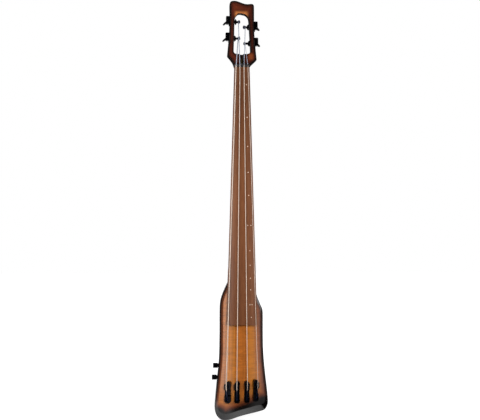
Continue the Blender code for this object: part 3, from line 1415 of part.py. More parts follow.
def main():
    clear_scene()
    make_body_top()
    make_body_back()
    make_neck()
    make_fingerboard()
    make_nut()
    make_truss_rod()
    make_truss_nut()
    for name in STRING_NAMES:
        make_string(name)
        make_bridge_rail(name)
        make_piezo(name)
        make_saddle(name)
        make_tuner_housing(name)
        make_tuner_bushing(name)
        make_tuner_post(name)
        make_tuner_key(name)
    for name in KNOB_Z:
        make_knob(name)
        make_shaft(name)
        make_pot(name)
    make_control_cover()
    make_preamp_board()
    make_battery_box()
    make_battery_door()
    make_door_pin()
    make_battery()
    make_output_jack()
    make_stand_plate()
    report_axes()


main()
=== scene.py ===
# Looks of a fretless four-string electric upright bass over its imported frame.
# Metres, +Z up, the front faces -Y.

import json
import math

import bpy
from mathutils import Matrix, Vector
from mathutils.bvhtree import BVHTree


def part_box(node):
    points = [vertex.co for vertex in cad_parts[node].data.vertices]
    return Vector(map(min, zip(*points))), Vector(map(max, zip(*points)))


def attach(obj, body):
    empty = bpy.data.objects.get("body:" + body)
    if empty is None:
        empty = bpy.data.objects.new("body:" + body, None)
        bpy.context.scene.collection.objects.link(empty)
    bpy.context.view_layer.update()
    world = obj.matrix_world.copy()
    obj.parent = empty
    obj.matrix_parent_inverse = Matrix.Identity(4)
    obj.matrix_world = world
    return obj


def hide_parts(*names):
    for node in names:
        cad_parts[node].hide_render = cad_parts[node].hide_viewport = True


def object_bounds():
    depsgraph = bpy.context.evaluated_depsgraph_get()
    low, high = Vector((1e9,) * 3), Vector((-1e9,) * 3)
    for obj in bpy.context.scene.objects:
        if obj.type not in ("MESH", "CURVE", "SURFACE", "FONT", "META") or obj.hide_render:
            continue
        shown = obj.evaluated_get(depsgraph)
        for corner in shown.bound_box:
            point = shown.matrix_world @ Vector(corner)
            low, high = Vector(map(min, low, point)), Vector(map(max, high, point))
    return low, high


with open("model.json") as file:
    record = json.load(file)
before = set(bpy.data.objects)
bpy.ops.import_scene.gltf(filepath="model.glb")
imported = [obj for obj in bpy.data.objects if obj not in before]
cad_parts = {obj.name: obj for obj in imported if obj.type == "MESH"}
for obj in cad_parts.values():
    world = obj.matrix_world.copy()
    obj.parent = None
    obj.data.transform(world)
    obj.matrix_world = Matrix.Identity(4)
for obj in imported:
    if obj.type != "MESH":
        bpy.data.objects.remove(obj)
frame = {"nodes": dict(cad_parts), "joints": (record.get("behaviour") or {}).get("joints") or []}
cadBox = [list(corner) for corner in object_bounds()]

stringNames = ("e", "a", "d", "g")
mainBody = "instrument"
scene = bpy.context.scene


# Shader maths

class Signal:
    # A node's output that ordinary arithmetic works on
    def __init__(self, finish, socket):
        self.finish = finish
        self.socket = socket

    def maths(self, operation, first, second):
        return self.finish.node("ShaderNodeMath", {"operation": operation}, {0: first, 1: second})

    def __add__(self, other):
        return self.maths("ADD", self, other)

    def __radd__(self, other):
        return self.maths("ADD", other, self)

    def __sub__(self, other):
        return self.maths("SUBTRACT", self, other)

    def __rsub__(self, other):
        return self.maths("SUBTRACT", other, self)

    def __mul__(self, other):
        return self.maths("MULTIPLY", self, other)

    def __rmul__(self, other):
        return self.maths("MULTIPLY", other, self)


class Finish:
    # A material, or the world's nodes when a tree is given
    def __init__(self, name, tree=None, **fixed):
        if tree is None:
            self.material = bpy.data.materials.new(name)
            self.material.use_nodes = True
            tree = self.material.node_tree
            self.shader = tree.nodes["Principled BSDF"]
            for label, value in fixed.items():
                self.shader.inputs[label.replace("_", " ")].default_value = value
        self.tree = tree

    def node(self, kind, settings=None, values=None, output=0):
        made = self.tree.nodes.new(kind)
        for label, value in (settings or {}).items():
            if label == "stops":
                self.fillRamp(made.color_ramp, value)
            else:
                setattr(made, label, value)
        for label, value in (values or {}).items():
            self.feed(made.inputs[label], value)
        return Signal(self, made.outputs[output])

    def fillRamp(self, ramp, stops):
        while len(ramp.elements) < len(stops):
            ramp.elements.new(0.5)
        for element, (place, colour) in zip(ramp.elements, stops):
            element.position = place
            element.color = (*colour, 1.0)

    def feed(self, target, value):
        if isinstance(value, Signal):
            self.tree.links.new(value.socket, target)
        else:
            target.default_value = value

    def put(self, label, value):
        self.feed(self.shader.inputs[label], value)

    def place(self):
        return self.node("ShaderNodeTexCoord", output="Object")

    def axis(self, letter):
        return self.node("ShaderNodeSeparateXYZ", None, {"Vector": self.place()}, "XYZ".index(letter))

    def rays(self, *kinds):
        outputs = self.node("ShaderNodeLightPath").socket.node.outputs
        return [Signal(self, outputs[f"Is {kind} Ray"]) for kind in kinds]

    def noise(self, scale, detail=2.0, rough=0.5, warp=0.0):
        # Three numbers as the scale stretch the pattern along the axes
        vector = self.place()
        if isinstance(scale, tuple):
            vector = self.node("ShaderNodeMapping", None, {"Vector": vector, "Scale": scale})
            scale = 1.0
        return self.node("ShaderNodeTexNoise", None,
                         {"Vector": vector, "Scale": scale, "Detail": detail, "Roughness": rough,
                          "Distortion": warp})

    def smooth(self, value, low, high, start=0.0, end=1.0):
        return self.node("ShaderNodeMapRange", {"interpolation_type": "SMOOTHSTEP"},
                         {"Value": value, "From Min": low, "From Max": high, "To Min": start,
                          "To Max": end})

    def ramp(self, value, stops):
        return self.node("ShaderNodeValToRGB", {"stops": stops}, {"Fac": value})

    def blend(self, share, first, second):
        return self.node("ShaderNodeMix", {"data_type": "RGBA"},
                         {0: share, 6: padded(first), 7: padded(second)}, 2)

    def scaled(self, colour, light):
        return self.node("ShaderNodeVectorMath", {"operation": "SCALE"}, {0: colour, "Scale": light})

    def absolute(self, value):
        return self.node("ShaderNodeMath", {"operation": "ABSOLUTE"}, {0: value})

    def attribute(self, name):
        return self.node("ShaderNodeAttribute", {"attribute_name": name}, None, "Fac")

    def bump(self, height, strength, distance):
        normal = self.node("ShaderNodeBump", None,
                           {"Height": height, "Strength": strength, "Distance": distance})
        self.put("Normal", normal)


def padded(colour):
    return colour if isinstance(colour, Signal) else (*colour, 1.0)


def grey(value):
    return (value, value, value)


# Modelling helpers

mergeGap = 0.00001
cutGap = 0.00002
rimSet = {"spacing": 0.002, "sameWay": 0.985}


def objectMode():
    bpy.ops.object.mode_set(mode="OBJECT")


def onlySelect(piece):
    bpy.ops.object.select_all(action="DESELECT")
    piece.select_set(True)
    bpy.context.view_layer.objects.active = piece


def editAll(piece):
    onlySelect(piece)
    bpy.ops.object.mode_set(mode="EDIT")
    bpy.ops.mesh.select_all(action="SELECT")


def editFaces(piece, test):
    # Goes to edit mode with the faces selected that pass the test
    bpy.ops.object.mode_set(mode="EDIT")
    bpy.ops.mesh.select_mode(type="FACE")
    bpy.ops.mesh.select_all(action="DESELECT")
    objectMode()
    for face in piece.data.polygons:
        face.select = test(face)
    bpy.ops.object.mode_set(mode="EDIT")


def bevelled(piece, width, steps, angle):
    bevel = piece.modifiers.new("softEdges", "BEVEL")
    bevel.width = width
    bevel.segments = steps
    bevel.limit_method = "ANGLE"
    bevel.angle_limit = math.radians(angle)
    onlySelect(piece)
    bpy.ops.object.modifier_apply(modifier=bevel.name)


def smoothed(piece, angle):
    onlySelect(piece)
    bpy.ops.object.shade_smooth_by_angle(angle=math.radians(angle))


def evened(piece):
    # Lets large flat faces keep their own normal up to their soft edges
    even = piece.modifiers.new("flatShading", "WEIGHTED_NORMAL")
    even.keep_sharp = True
    onlySelect(piece)
    bpy.ops.object.modifier_apply(modifier=even.name)


def settled(piece):
    # Moves the piece's place into its mesh
    onlySelect(piece)
    bpy.ops.object.transform_apply(location=True, rotation=True, scale=True)


def worn(piece, finish, body=mainBody, replaces=()):
    piece.data.materials.clear()
    for item in finish if isinstance(finish, tuple) else (finish,):
        piece.data.materials.append(item.material)
    if replaces:
        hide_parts(*replaces)
    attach(piece, body)


def nodeCopy(name, node, flat=0.5):
    # A merged copy of a node's mesh, its flat faces whole again
    data = frame["nodes"][node].data.copy()
    data.materials.clear()
    piece = bpy.data.objects.new(name, data)
    scene.collection.objects.link(piece)
    onlySelect(piece)
    if data.has_custom_normals:
        bpy.ops.mesh.customdata_custom_splitnormals_clear()
    editAll(piece)
    bpy.ops.mesh.remove_doubles(threshold=mergeGap)
    bpy.ops.mesh.dissolve_limited(angle_limit=math.radians(flat))
    objectMode()
    return piece


def dressed(name, node, finish, body=mainBody, edge=0.0005, steps=2, sharp=32.0,
            smooth=40.0):
    # A node's copy with soft edges, in its finish
    piece = nodeCopy(name, node)
    bevelled(piece, edge, steps, sharp)
    smoothed(piece, smooth)
    evened(piece)
    worn(piece, finish, body, (node,))
    return piece


def sliced(piece, letter, low, high, step):
    # Cuts the mesh on parallel planes, which gives its faces points in between
    normal = [float(letter == other) for other in "XYZ"]
    count = int((high - low) / step)
    editAll(piece)
    for i in range(count + 1):
        place = [0.0, 0.0, 0.0]
        place["XYZ".index(letter)] = low + (high - low) * i / count
        bpy.ops.mesh.select_all(action="SELECT")
        bpy.ops.mesh.bisect(plane_co=place, plane_no=normal, threshold=cutGap)
    objectMode()


def rimPoints(piece, facing, keep):
    # Points along the edges that bound the faces with that normal, each with its way out of the outline
    mesh = piece.data
    owners = {}
    for face in mesh.polygons:
        for key in face.edge_keys:
            owners.setdefault(key, []).append(face.normal)
    points = []
    for (first, second), normals in owners.items():
        flanks = [normal for normal in normals if normal.dot(facing) < rimSet["sameWay"]]
        start, end = mesh.vertices[first].co, mesh.vertices[second].co
        if len(flanks) != 1 or len(normals) != 2 or not keep(0.5 * (start + end)):
            continue
        out = Vector((flanks[0].x, 0.0, flanks[0].z)).normalized()
        count = max(1, int((end - start).length / rimSet["spacing"]))
        points += [(start.lerp(end, i / count), out) for i in range(count)]
    return points


def edgeDistance(piece, points, rule):
    # Stores how far into the fade each point lies: 0 where the black ends, 1 where the fade does.
    # The rule gives both widths for a point of the rim, and distances are as seen from the front.
    layer = piece.data.attributes.new("edge", "FLOAT", "POINT")
    rim = [(point.x, point.z, *rule(point, out)) for point, out in points]
    for vertex, value in zip(piece.data.vertices, layer.data):
        x, z = vertex.co.x, vertex.co.z
        value.value = min((math.hypot(x - rimX, z - rimZ) - black) / fade
                          for rimX, rimZ, black, fade in rim)


def frontOf(piece, x, z):
    # The point and normal where a line from the front meets the piece
    tree = BVHTree.FromObject(piece, bpy.context.evaluated_depsgraph_get())
    point, normal, _, _ = tree.ray_cast(Vector((x, -1.0, z)), Vector((0.0, 1.0, 0.0)))
    return point, normal


# Camera, lights and stage

cameraSet = {"place": (-0.1886, -3.0641, 0.3812), "turn": -3.5, "lens": 82.64, "sensor": 36.0,
             "nearClip": 0.05}

warmWhite = (1.0, 0.99, 0.97)
lampSet = {
    "key": {"place": (0.56, -3.55, 1.00), "size": (0.12, 0.60), "power": 64.0, "colour": warmWhite},
    "left": {"place": (-1.93, -2.35, 1.35), "size": (0.40, 1.50), "power": 39.0, "colour": warmWhite},
    "right": {"place": (2.20, -1.60, 0.90), "size": (0.70, 1.60), "power": 10.0, "colour": warmWhite},
    "back": {"place": (-1.20, 3.20, 2.60), "size": (1.20, 1.20), "power": 100.0, "colour": grey(1.0)},
}
lampAim = (0.0, -0.05, 0.35)

# What polish reflects: degrees to the right of the front, and how bright it is there
panelSet = {
    "stops": ((-180, 0.80), (-177, 0.80), (-170, 0.05), (-110, 0.04), (-62, 0.20), (-46, 1.80),
              (-36, 2.60), (-23, 2.60), (-18, 1.30), (-13, 0.45), (-7, 0.05), (10, 0.03), (18, 0.20),
              (26, 0.70), (36, 1.05), (48, 0.90), (80, 0.06), (139, 0.06), (145, 0.60), (151, 0.60),
              (158, 0.05), (170, 0.05), (177, 0.80), (180, 0.80)),
    "peak": 4.0,  # at least the brightest stop, because a ramp holds no more than 1
    "sidesEnd": (0.45, 0.60),  # how high up, 1 is straight overhead
    "top": 0.9,
    "topStart": (0.55, 0.85),
}

stageSet = {
    "diffuse": 0.26,  # the surroundings' light on what isn't polished
    "size": 14.0,
    "below": 0.0006,  # gap under the bass
    "paint": 0.45,  # what of the lamps' light it throws back
    "paleNear": 0.72,  # its glow for the camera, near the bass and far from it
    "paleFar": 1.0,
    "paleReach": (0.30, 1.60),
    "nearReach": (0.35, 0.80),  # distances where its reflection turns into that of the panels
    "frontEdge": (-0.10, -0.07),  # depths where the floor in front ends and the foot's glow begins
    "frontShare": 0.3,
    "footGlow": 0.72,
    "footSide": (0.072, 0.090),  # where the foot's glow ends on the right
}


def addCamera():
    bpy.ops.object.camera_add(location=cameraSet["place"],
                              rotation=(math.radians(90.0), 0.0, math.radians(cameraSet["turn"])))
    camera = bpy.context.object
    camera.data.lens = cameraSet["lens"]
    camera.data.sensor_width = cameraSet["sensor"]
    camera.data.clip_start = cameraSet["nearClip"]
    scene.camera = camera


def addLamps():
    for name, lamp in lampSet.items():
        bpy.ops.object.light_add(type="AREA", location=lamp["place"])
        made = bpy.context.object
        made.name = name
        away = Vector(lamp["place"]) - Vector(lampAim)
        made.rotation_euler = away.to_track_quat("Z", "Y").to_euler()
        made.data.shape = "RECTANGLE"
        made.data.size, made.data.size_y = lamp["size"]
        made.data.energy = lamp["power"]
        made.data.color = lamp["colour"]
        made.visible_camera = False
        made.visible_glossy = False


def panelGlow(finish, across, ahead):
    bearing = finish.node("ShaderNodeMath", {"operation": "ARCTAN2"}, {0: across, 1: ahead})
    stops = [(angle / 360.0 + 0.5, grey(glow / panelSet["peak"])) for angle, glow in panelSet["stops"]]
    return finish.ramp(bearing * (0.5 / math.pi) + 0.5, stops) * panelSet["peak"]


def addWorld():
    world = bpy.data.worlds.new("studio")
    scene.world = world
    world.use_nodes = True
    air = Finish("studio", world.node_tree)
    camera, mirror, through = air.rays("Camera", "Glossy", "Transmission")
    parts = air.node("ShaderNodeSeparateXYZ", None,
                     {"Vector": air.node("ShaderNodeTexCoord", output="Generated")})
    across, depth, height = (Signal(air, output) for output in parts.socket.node.outputs)
    around = panelGlow(air, across, 0.0 - depth) * air.smooth(height, *panelSet["sidesEnd"], 1.0, 0.0)
    gloss = around + air.smooth(height, *panelSet["topStart"], 0.0, panelSet["top"])
    seen = air.node("ShaderNodeMath", {"operation": "MAXIMUM"}, {0: camera, 1: through})
    lit = mirror * gloss + (1.0 - mirror) * stageSet["diffuse"]
    background = world.node_tree.nodes["Background"]
    background.inputs["Color"].default_value = (*grey(1.0), 1.0)
    air.feed(background.inputs["Strength"], seen + (1.0 - seen) * lit)


def addFloor():
    bpy.ops.object.select_all(action="DESELECT")
    bpy.ops.mesh.primitive_plane_add(size=stageSet["size"],
                                     location=(0.0, 0.0, cadBox[0][2] - stageSet["below"]))
    floor = bpy.context.object
    floor.name = "floor"
    paint = Finish("paleFloor", Roughness=1.0, Specular_IOR_Level=0.0, Emission_Strength=1.0)
    camera, mirror = paint.rays("Camera", "Glossy")
    across, depth = paint.axis("X"), paint.axis("Y")
    away = paint.node("ShaderNodeVectorMath", {"operation": "LENGTH"}, {0: paint.place()}, "Value")
    distant = paint.smooth(away, *stageSet["nearReach"])
    front = paint.smooth(depth, *stageSet["frontEdge"], stageSet["frontShare"], 0.0)
    far = panelGlow(paint, across, 0.0 - depth) * (distant + (1.0 - distant) * front)
    behind = paint.smooth(depth, *stageSet["frontEdge"], 0.0, stageSet["footGlow"])
    foot = behind * paint.smooth(across, *stageSet["footSide"], 1.0, 0.0) * (1.0 - distant)
    pale = paint.smooth(away, *stageSet["paleReach"], stageSet["paleNear"], stageSet["paleFar"])
    paint.put("Base Color", paint.blend(mirror, grey(stageSet["paint"]), grey(0.0)))
    paint.put("Emission Color", paint.scaled(grey(1.0), camera * pale + mirror * (far + foot)))
    floor.data.materials.append(paint.material)


# Finishes of wood

# Clear gloss over the body's top and the headstock's face
polish = {"Roughness": 0.45, "Specular_IOR_Level": 0.1, "Coat_Weight": 1.0, "Coat_Roughness": 0.05,
          "Coat_IOR": 1.5}

mapleSet = {
    "patches": (9.0, 1.0, 22.0),  # where the flame is strong
    "flame": (26.0, 4.0, 150.0),
    "lines": (1500.0, 300.0, 18.0),
    "even": 0.4,  # strength of the flame outside the patches, and what they add
    "patchy": 1.6,
}


def maplePattern(finish, figure, grain):
    # Flame across the grain, with fine lines along it, as a brightness near 1
    patches = finish.noise(mapleSet["patches"], 2.0, 0.4, 0.4)
    flame = finish.noise(mapleSet["flame"], 2.5, 0.55, 0.9)
    lines = finish.noise(mapleSet["lines"], 3.0, 0.6)
    strength = mapleSet["even"] + patches * mapleSet["patchy"]
    return 1.0 + (flame - 0.5) * figure * strength * 2.0 + (lines - 0.5) * grain * 2.0


# Where the black ends and how wide the fade to the middle is, in metres from the rim
burstSet = {
    "side": {"black": 0.0012, "fade": 0.0115},
    # The right side's wider fade is partly the burst and partly painted shade, darkening the body's right
    # side as if it were lit from the left
    "right": {"black": 0.0000, "fade": 0.0280},
    "top": {"black": 0.0000, "fade": 0.0080},
    "bottom": {"black": 0.0275, "blackSlope": 0.08, "fade": 0.0270, "fadeSlope": 0.05},
    "bottomTurn": {"start": 0.10, "span": 0.45},  # the rim's slope where the bottom's widths come in
    "stops": (
        (0.00, (0.0040, 0.0030, 0.0028)),
        (0.10, (0.0180, 0.0050, 0.0028)),
        (0.25, (0.0700, 0.0170, 0.0065)),
        (0.45, (0.1900, 0.0500, 0.0140)),
        (0.65, (0.3100, 0.0920, 0.0200)),
        (0.85, (0.3800, 0.1200, 0.0220)),
        (0.93, (0.3950, 0.1240, 0.0200)),
        (1.00, (0.3900, 0.1150, 0.0160)),
    ),
    "cloud": {"scale": 26.0, "share": 0.06},
    # A yellower stain at both sides of the middle, with the distances where it sets in and weakens
    "amber": {"colour": (0.4500, 0.1500, 0.0160), "rise": (0.010, 0.024), "drop": (0.036, 0.046),
              "outside": 0.3, "fade": (0.7, 1.1)},
    "figure": 0.42,
    "grain": 0.18,
    "ripple": {"scale": (60.0, 60.0, 60.0), "strength": 0.03, "depth": 0.0004},
}


def burstFinish():
    finish = Finish("glossBurst", **polish)
    cloud, amber, ripple = burstSet["cloud"], burstSet["amber"], burstSet["ripple"]
    share = finish.attribute("edge") + (finish.noise(cloud["scale"]) - 0.5) * cloud["share"]
    aside = finish.absolute(finish.axis("X"))
    stain = finish.smooth(aside, *amber["rise"]) * finish.smooth(share, *amber["fade"])
    stain = stain * finish.smooth(aside, *amber["drop"], 1.0, amber["outside"])
    colour = finish.blend(stain, finish.ramp(share, burstSet["stops"]), amber["colour"])
    light = maplePattern(finish, burstSet["figure"], burstSet["grain"])
    finish.put("Base Color", finish.scaled(colour, light))
    finish.bump(finish.noise(ripple["scale"], 1.0), ripple["strength"], ripple["depth"])
    return finish


headSet = {
    "reach": 0.016,  # width of the fade from the rim
    "stops": (
        (0.00, (0.0040, 0.0026, 0.0024)),
        (0.14, (0.0090, 0.0036, 0.0026)),
        (0.36, (0.0480, 0.0085, 0.0040)),
        (0.66, (0.0800, 0.0135, 0.0055)),
        (1.00, (0.1000, 0.0180, 0.0065)),
    ),
    # Two lighter patches, between these places across and up; the second, on the right between the nut and
    # the window, is a painted highlight
    "patches": (
        {"colour": (0.4000, 0.1350, 0.0380), "across": (-0.0175, 0.0172), "up": (0.9100, 0.9255)},
        # painted highlight: a lighter red-brown spot standing in for a reflection on the face above the
        # nut
        {"colour": (0.2100, 0.0480, 0.0120), "across": (0.0190, 0.0310), "up": (0.7930, 0.8090)},
    ),
    "soft": 0.0050,
    "figure": 0.10,
    "grain": 0.16,
    "halfWidth": 0.025,
    "light": (1.25, 0.86),  # painted light: the face's brightness on its left and right side, lighter left and darker right as if lit from the left
}


def headFinish():
    finish = Finish("headBurst", **polish)
    colour = finish.ramp(finish.attribute("edge"), headSet["stops"])
    x, z = finish.axis("X"), finish.axis("Z")
    soft, half = headSet["soft"], headSet["halfWidth"]
    # The patches, the second of them a painted highlight
    for patch in headSet["patches"]:
        inside = 1.0
        for place, (low, high) in ((x, patch["across"]), (z, patch["up"])):
            inside = finish.smooth(place, low - soft, low + soft) * inside
            inside = finish.smooth(place, high - soft, high + soft, 1.0, 0.0) * inside
        colour = finish.blend(inside, colour, patch["colour"])
    light = maplePattern(finish, headSet["figure"], headSet["grain"])
    # Painted light: lighter on the left side of the face and darker on the right
    light = light * finish.smooth(x, -half, half, *headSet["light"])
    finish.put("Base Color", finish.scaled(colour, light))
    return finish


darkGlossSet = {"grain": (160.0, 160.0, 12.0), "roughness": (0.34, 0.44),
                "stops": ((0.30, (0.0045, 0.0024, 0.0020)), (0.72, (0.0130, 0.0052, 0.0036)))}


def darkGlossFinish():
    finish = Finish("darkGloss", Specular_IOR_Level=0.1, Coat_Weight=1.0, Coat_Roughness=0.04,
                    Coat_IOR=1.5)
    grain = finish.noise(darkGlossSet["grain"], 4.0, 0.6)
    finish.put("Base Color", finish.ramp(grain, darkGlossSet["stops"]))
    finish.put("Roughness", finish.smooth(grain, 0.3, 0.7, *darkGlossSet["roughness"]))
    return finish


neckWoodSet = {
    "grain": (420.0, 420.0, 9.0),
    "stops": ((0.28, (0.075, 0.022, 0.010)), (0.74, (0.170, 0.058, 0.024))),
    "stripe": {"places": (-0.0062, 0.0062), "half": (0.0010, 0.0014), "colour": (0.026, 0.010, 0.006)},
    "roughness": (0.40, 0.54),
}


def neckFinish():
    finish = Finish("neckSatin", Coat_Weight=0.15, Coat_Roughness=0.35)
    x = finish.axis("X")
    grain = finish.noise(neckWoodSet["grain"], 4.0, 0.65)
    colour = finish.ramp(grain, neckWoodSet["stops"])
    stripe = neckWoodSet["stripe"]
    for middle in stripe["places"]:
        dark = finish.smooth(finish.absolute(x - middle), *stripe["half"], 1.0, 0.0)
        colour = finish.blend(dark, colour, stripe["colour"])
    finish.put("Base Color", colour)
    finish.put("Roughness", finish.smooth(grain, 0.2, 0.8, *neckWoodSet["roughness"]))
    finish.bump(grain, 0.06, 0.0002)
    return finish


boardSet = {
    "broad": (90.0, 30.0, 3.0),
    "fine": (1300.0, 700.0, 26.0),
    "pores": (2600.0, 900.0, 150.0),
    "broadShare": 0.45,
    "stops": ((0.30, (0.070, 0.023, 0.010)), (0.50, (0.134, 0.047, 0.018)),
              (0.72, (0.215, 0.085, 0.034))),
    "pore": (0.030, 0.011, 0.006),
    "poreShare": 0.55,
    "low": (0.05, 0.30),  # heights between which its painted light changes, at the low and the high end: painted brighter low down and darker toward the nut
    "high": (0.40, 0.75),
    "paintedLightLow": (1.10, 1.32),
    "paintedLightHigh": (1.00, 0.66),
    "oil": (0.60, 1.00),  # share of the sheen at its low end
    "roughness": (0.34, 0.48),
}


def boardFinish():
    finish = Finish("boardWood", Specular_IOR_Level=0.10, Coat_Roughness=0.22)
    broad = finish.noise(boardSet["broad"], 3.0, 0.5, 0.3)
    fine = finish.noise(boardSet["fine"], 4.0, 0.62)
    pores = finish.smooth(finish.noise(boardSet["pores"]), 0.60, 0.72)
    share = boardSet["broadShare"]
    colour = finish.ramp(broad * share + fine * (1.0 - share), boardSet["stops"])
    z = finish.axis("Z")
    # Painted light: the board's colour is scaled brighter toward its low end and darker toward the nut,
    # standing in for how the lamps fall along it
    light = (finish.smooth(z, *boardSet["low"], *boardSet["paintedLightLow"])
             * finish.smooth(z, *boardSet["high"], *boardSet["paintedLightHigh"]))
    colour = finish.blend(pores * boardSet["poreShare"], finish.scaled(colour, light), boardSet["pore"])
    finish.put("Base Color", colour)
    finish.put("Coat Weight", finish.smooth(z, *boardSet["low"], *boardSet["oil"]))
    finish.put("Roughness", finish.smooth(fine, 0.2, 0.8, *boardSet["roughness"]))
    finish.bump(fine - pores * 0.6, 0.10, 0.0002)
    return finish


glossBurst = burstFinish()
headBurst = headFinish()
darkGloss = darkGlossFinish()
neckSatin = neckFinish()
boardWood = boardFinish()


# Finishes of metal and plastic

metalGrain = {"cloud": 60.0, "cloudShare": 0.6, "speck": 900.0, "bump": (0.05, 0.0001)}


def metalFinish(name, dark, light, roughness, metallic=1.0):
    finish = Finish(name, Metallic=metallic)
    speck = finish.noise(metalGrain["speck"], 3.0, 0.6)
    cloud = finish.noise(metalGrain["cloud"])
    share = metalGrain["cloudShare"]
    mixed = cloud * share + speck * (1.0 - share)
    finish.put("Base Color", finish.ramp(mixed, ((0.32, dark), (0.70, light))))
    finish.put("Roughness", finish.smooth(cloud, 0.3, 0.7, *roughness))
    finish.bump(speck, *metalGrain["bump"])
    return finish


plasticGrain = {"cloud": 80.0, "speck": 1600.0, "bump": (0.12, 0.0001), "smoother": 0.06, "rougher": 0.08}


def plasticFinish(name, dark, light, rough, **fixed):
    finish = Finish(name, **fixed)
    speck = finish.noise(plasticGrain["speck"], 2.0, 0.6)
    cloud = finish.noise(plasticGrain["cloud"])
    roughness = rough - plasticGrain["smoother"], rough + plasticGrain["rougher"]
    finish.put("Base Color", finish.ramp(cloud, ((0.35, dark), (0.68, light))))
    finish.put("Roughness", finish.smooth(speck, 0.3, 0.7, *roughness))
    finish.bump(speck, *plasticGrain["bump"])
    return finish


windingSet = {
    "steel": ((0.30, (0.88, 0.70, 0.58)), (0.70, (0.98, 0.82, 0.71))),
    "steelShare": 0.55,
    "pastNut": (0.50, 0.55, 0.66),
    "nutFade": (0.001, 0.007),  # above the nut's low side
    "silk": ((0.20, (0.004, 0.006, 0.020)), (0.80, (0.012, 0.018, 0.055))),
    "turns": 330.0,
    "cloud": (40.0, 40.0, 30.0),
    "roughness": (0.34, 0.30),  # of the steel and of the silk
}


def stringFinish():
    finish = Finish("flatWound")
    silk = finish.attribute("silk")
    bands = finish.node("ShaderNodeTexWave", {"bands_direction": "Z"},
                        {"Vector": finish.place(), "Scale": windingSet["turns"], "Distortion": 0.4,
                         "Detail": 1.0})
    steel = finish.ramp(finish.noise(windingSet["cloud"]), windingSet["steel"])
    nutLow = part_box("nut")[0].z
    pastNut = finish.smooth(finish.axis("Z"), *(nutLow + rise for rise in windingSet["nutFade"]))
    steel = finish.blend(pastNut, steel, windingSet["pastNut"])
    thread = finish.ramp(bands, windingSet["silk"])
    finish.put("Base Color", finish.blend(silk, steel, thread))
    finish.put("Metallic", windingSet["steelShare"] - silk * windingSet["steelShare"])
    finish.put("Roughness", finish.smooth(silk, 0.0, 1.0, *windingSet["roughness"]))
    finish.bump(bands, 0.08, 0.0001)
    return finish


flatWound = stringFinish()
satinBlack = metalFinish("satinBlack", (0.0035, 0.0035, 0.005), (0.008, 0.008, 0.011), (0.22, 0.32), 0.95)
blackChrome = metalFinish("blackChrome", (0.010, 0.011, 0.016), (0.020, 0.021, 0.028), (0.16, 0.26), 0.9)
plainSteel = metalFinish("plainSteel", (0.40, 0.40, 0.41), (0.56, 0.56, 0.57), (0.26, 0.40))
# Painted shade: the truss nut's brass is made almost black, standing in for the shadow it sits in
shadowDarkBrass = metalFinish("shadowDarkBrass", (0.020, 0.013, 0.006), (0.055, 0.036, 0.014), (0.34, 0.50))
batteryShell = metalFinish("batteryShell", (0.07, 0.07, 0.08), (0.12, 0.12, 0.13), (0.28, 0.38), 0.7)
nutBlack = plasticFinish("nutBlack", (0.016, 0.014, 0.014), (0.030, 0.027, 0.027), 0.34)
headEdge = plasticFinish("headEdge", (0.0040, 0.0026, 0.0024), (0.0085, 0.0040, 0.0032), 0.48,
                         Specular_IOR_Level=0.1)
boxPlastic = plasticFinish("boxPlastic", (0.010, 0.010, 0.011), (0.018, 0.018, 0.019), 0.50)
boardGreen = plasticFinish("boardGreen", (0.006, 0.050, 0.018), (0.012, 0.085, 0.032), 0.40)
paleCeramic = plasticFinish("paleCeramic", (0.52, 0.50, 0.44), (0.66, 0.64, 0.58), 0.35)
markPearl = plasticFinish("markPearl", (0.78, 0.55, 0.40), (0.92, 0.72, 0.56), 0.28)
print("finishes")


# Body

bodySet = {
    "archRadius": 0.170,
    "rimRound": 0.0026,
    "cell": 0.004,
    "cellInset": 0.001,
    "mortiseHalf": 0.0430,
    "mortiseTop": 0.150,
    "belowBoard": 0.004,
    "archTurn": -0.93,  # the least that a point faces the front to be put on the true arch
    "archSnap": 0.0002,
    "seamGap": 0.0005,
}
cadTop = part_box("body_top")


def burstReach(point, out):
    # How far the black comes in from that point of the rim, and how wide the fade is
    turn = burstSet["bottomTurn"]
    low = min(1.0, max(0.0, (-out.z - turn["start"]) / turn["span"]))
    level = 1.0 - low
    # The right's share brings in its wider fade, which is partly painted shade
    shares = {"bottom": low, "top": level * max(0.0, out.z) ** 2, "right": level * max(0.0, out.x) ** 2}
    shares["side"] = 1.0 - sum(shares.values())
    sizes = []
    for part in ("black", "fade"):
        slope = burstSet["bottom"][f"{part}Slope"] * point.x
        sizes.append(sum(share * burstSet[side][part] for side, share in shares.items()) + low * slope)
    return sizes


def archFront(x):
    radius = bodySet["archRadius"]
    return cadTop[0].y + radius - math.sqrt(radius ** 2 - x * x)


def makeBodyTop():
    piece = nodeCopy("bodyTop", "body_top")
    low, high = cadTop
    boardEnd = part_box("fingerboard")[0].z

    def onRim(middle):
        inMortise = (abs(middle.x) < bodySet["mortiseHalf"]
                     and boardEnd - bodySet["belowBoard"] < middle.z < bodySet["mortiseTop"])
        return middle.y > high.y - bodySet["seamGap"] and not inMortise

    rim = rimPoints(piece, Vector((0.0, 1.0, 0.0)), onRim)
    bevelled(piece, bodySet["rimRound"], 3, 32.0)
    inset = bodySet["cellInset"]
    sliced(piece, "X", low.x + inset, high.x - inset, bodySet["cell"])
    sliced(piece, "Z", low.z + inset, high.z - inset, bodySet["cell"])
    facing = [Vector() for _ in piece.data.vertices]
    for face in piece.data.polygons:
        for index in face.vertices:
            facing[index] += face.normal * face.area
    for vertex in piece.data.vertices:
        front = archFront(vertex.co.x)
        turned = facing[vertex.index].normalized().y < bodySet["archTurn"]
        if turned and abs(vertex.co.y - front) < bodySet["archSnap"]:
            vertex.co.y = front
    edgeDistance(piece, rim, burstReach)
    smoothed(piece, 34.0)
    worn(piece, glossBurst, replaces=("body_top",))


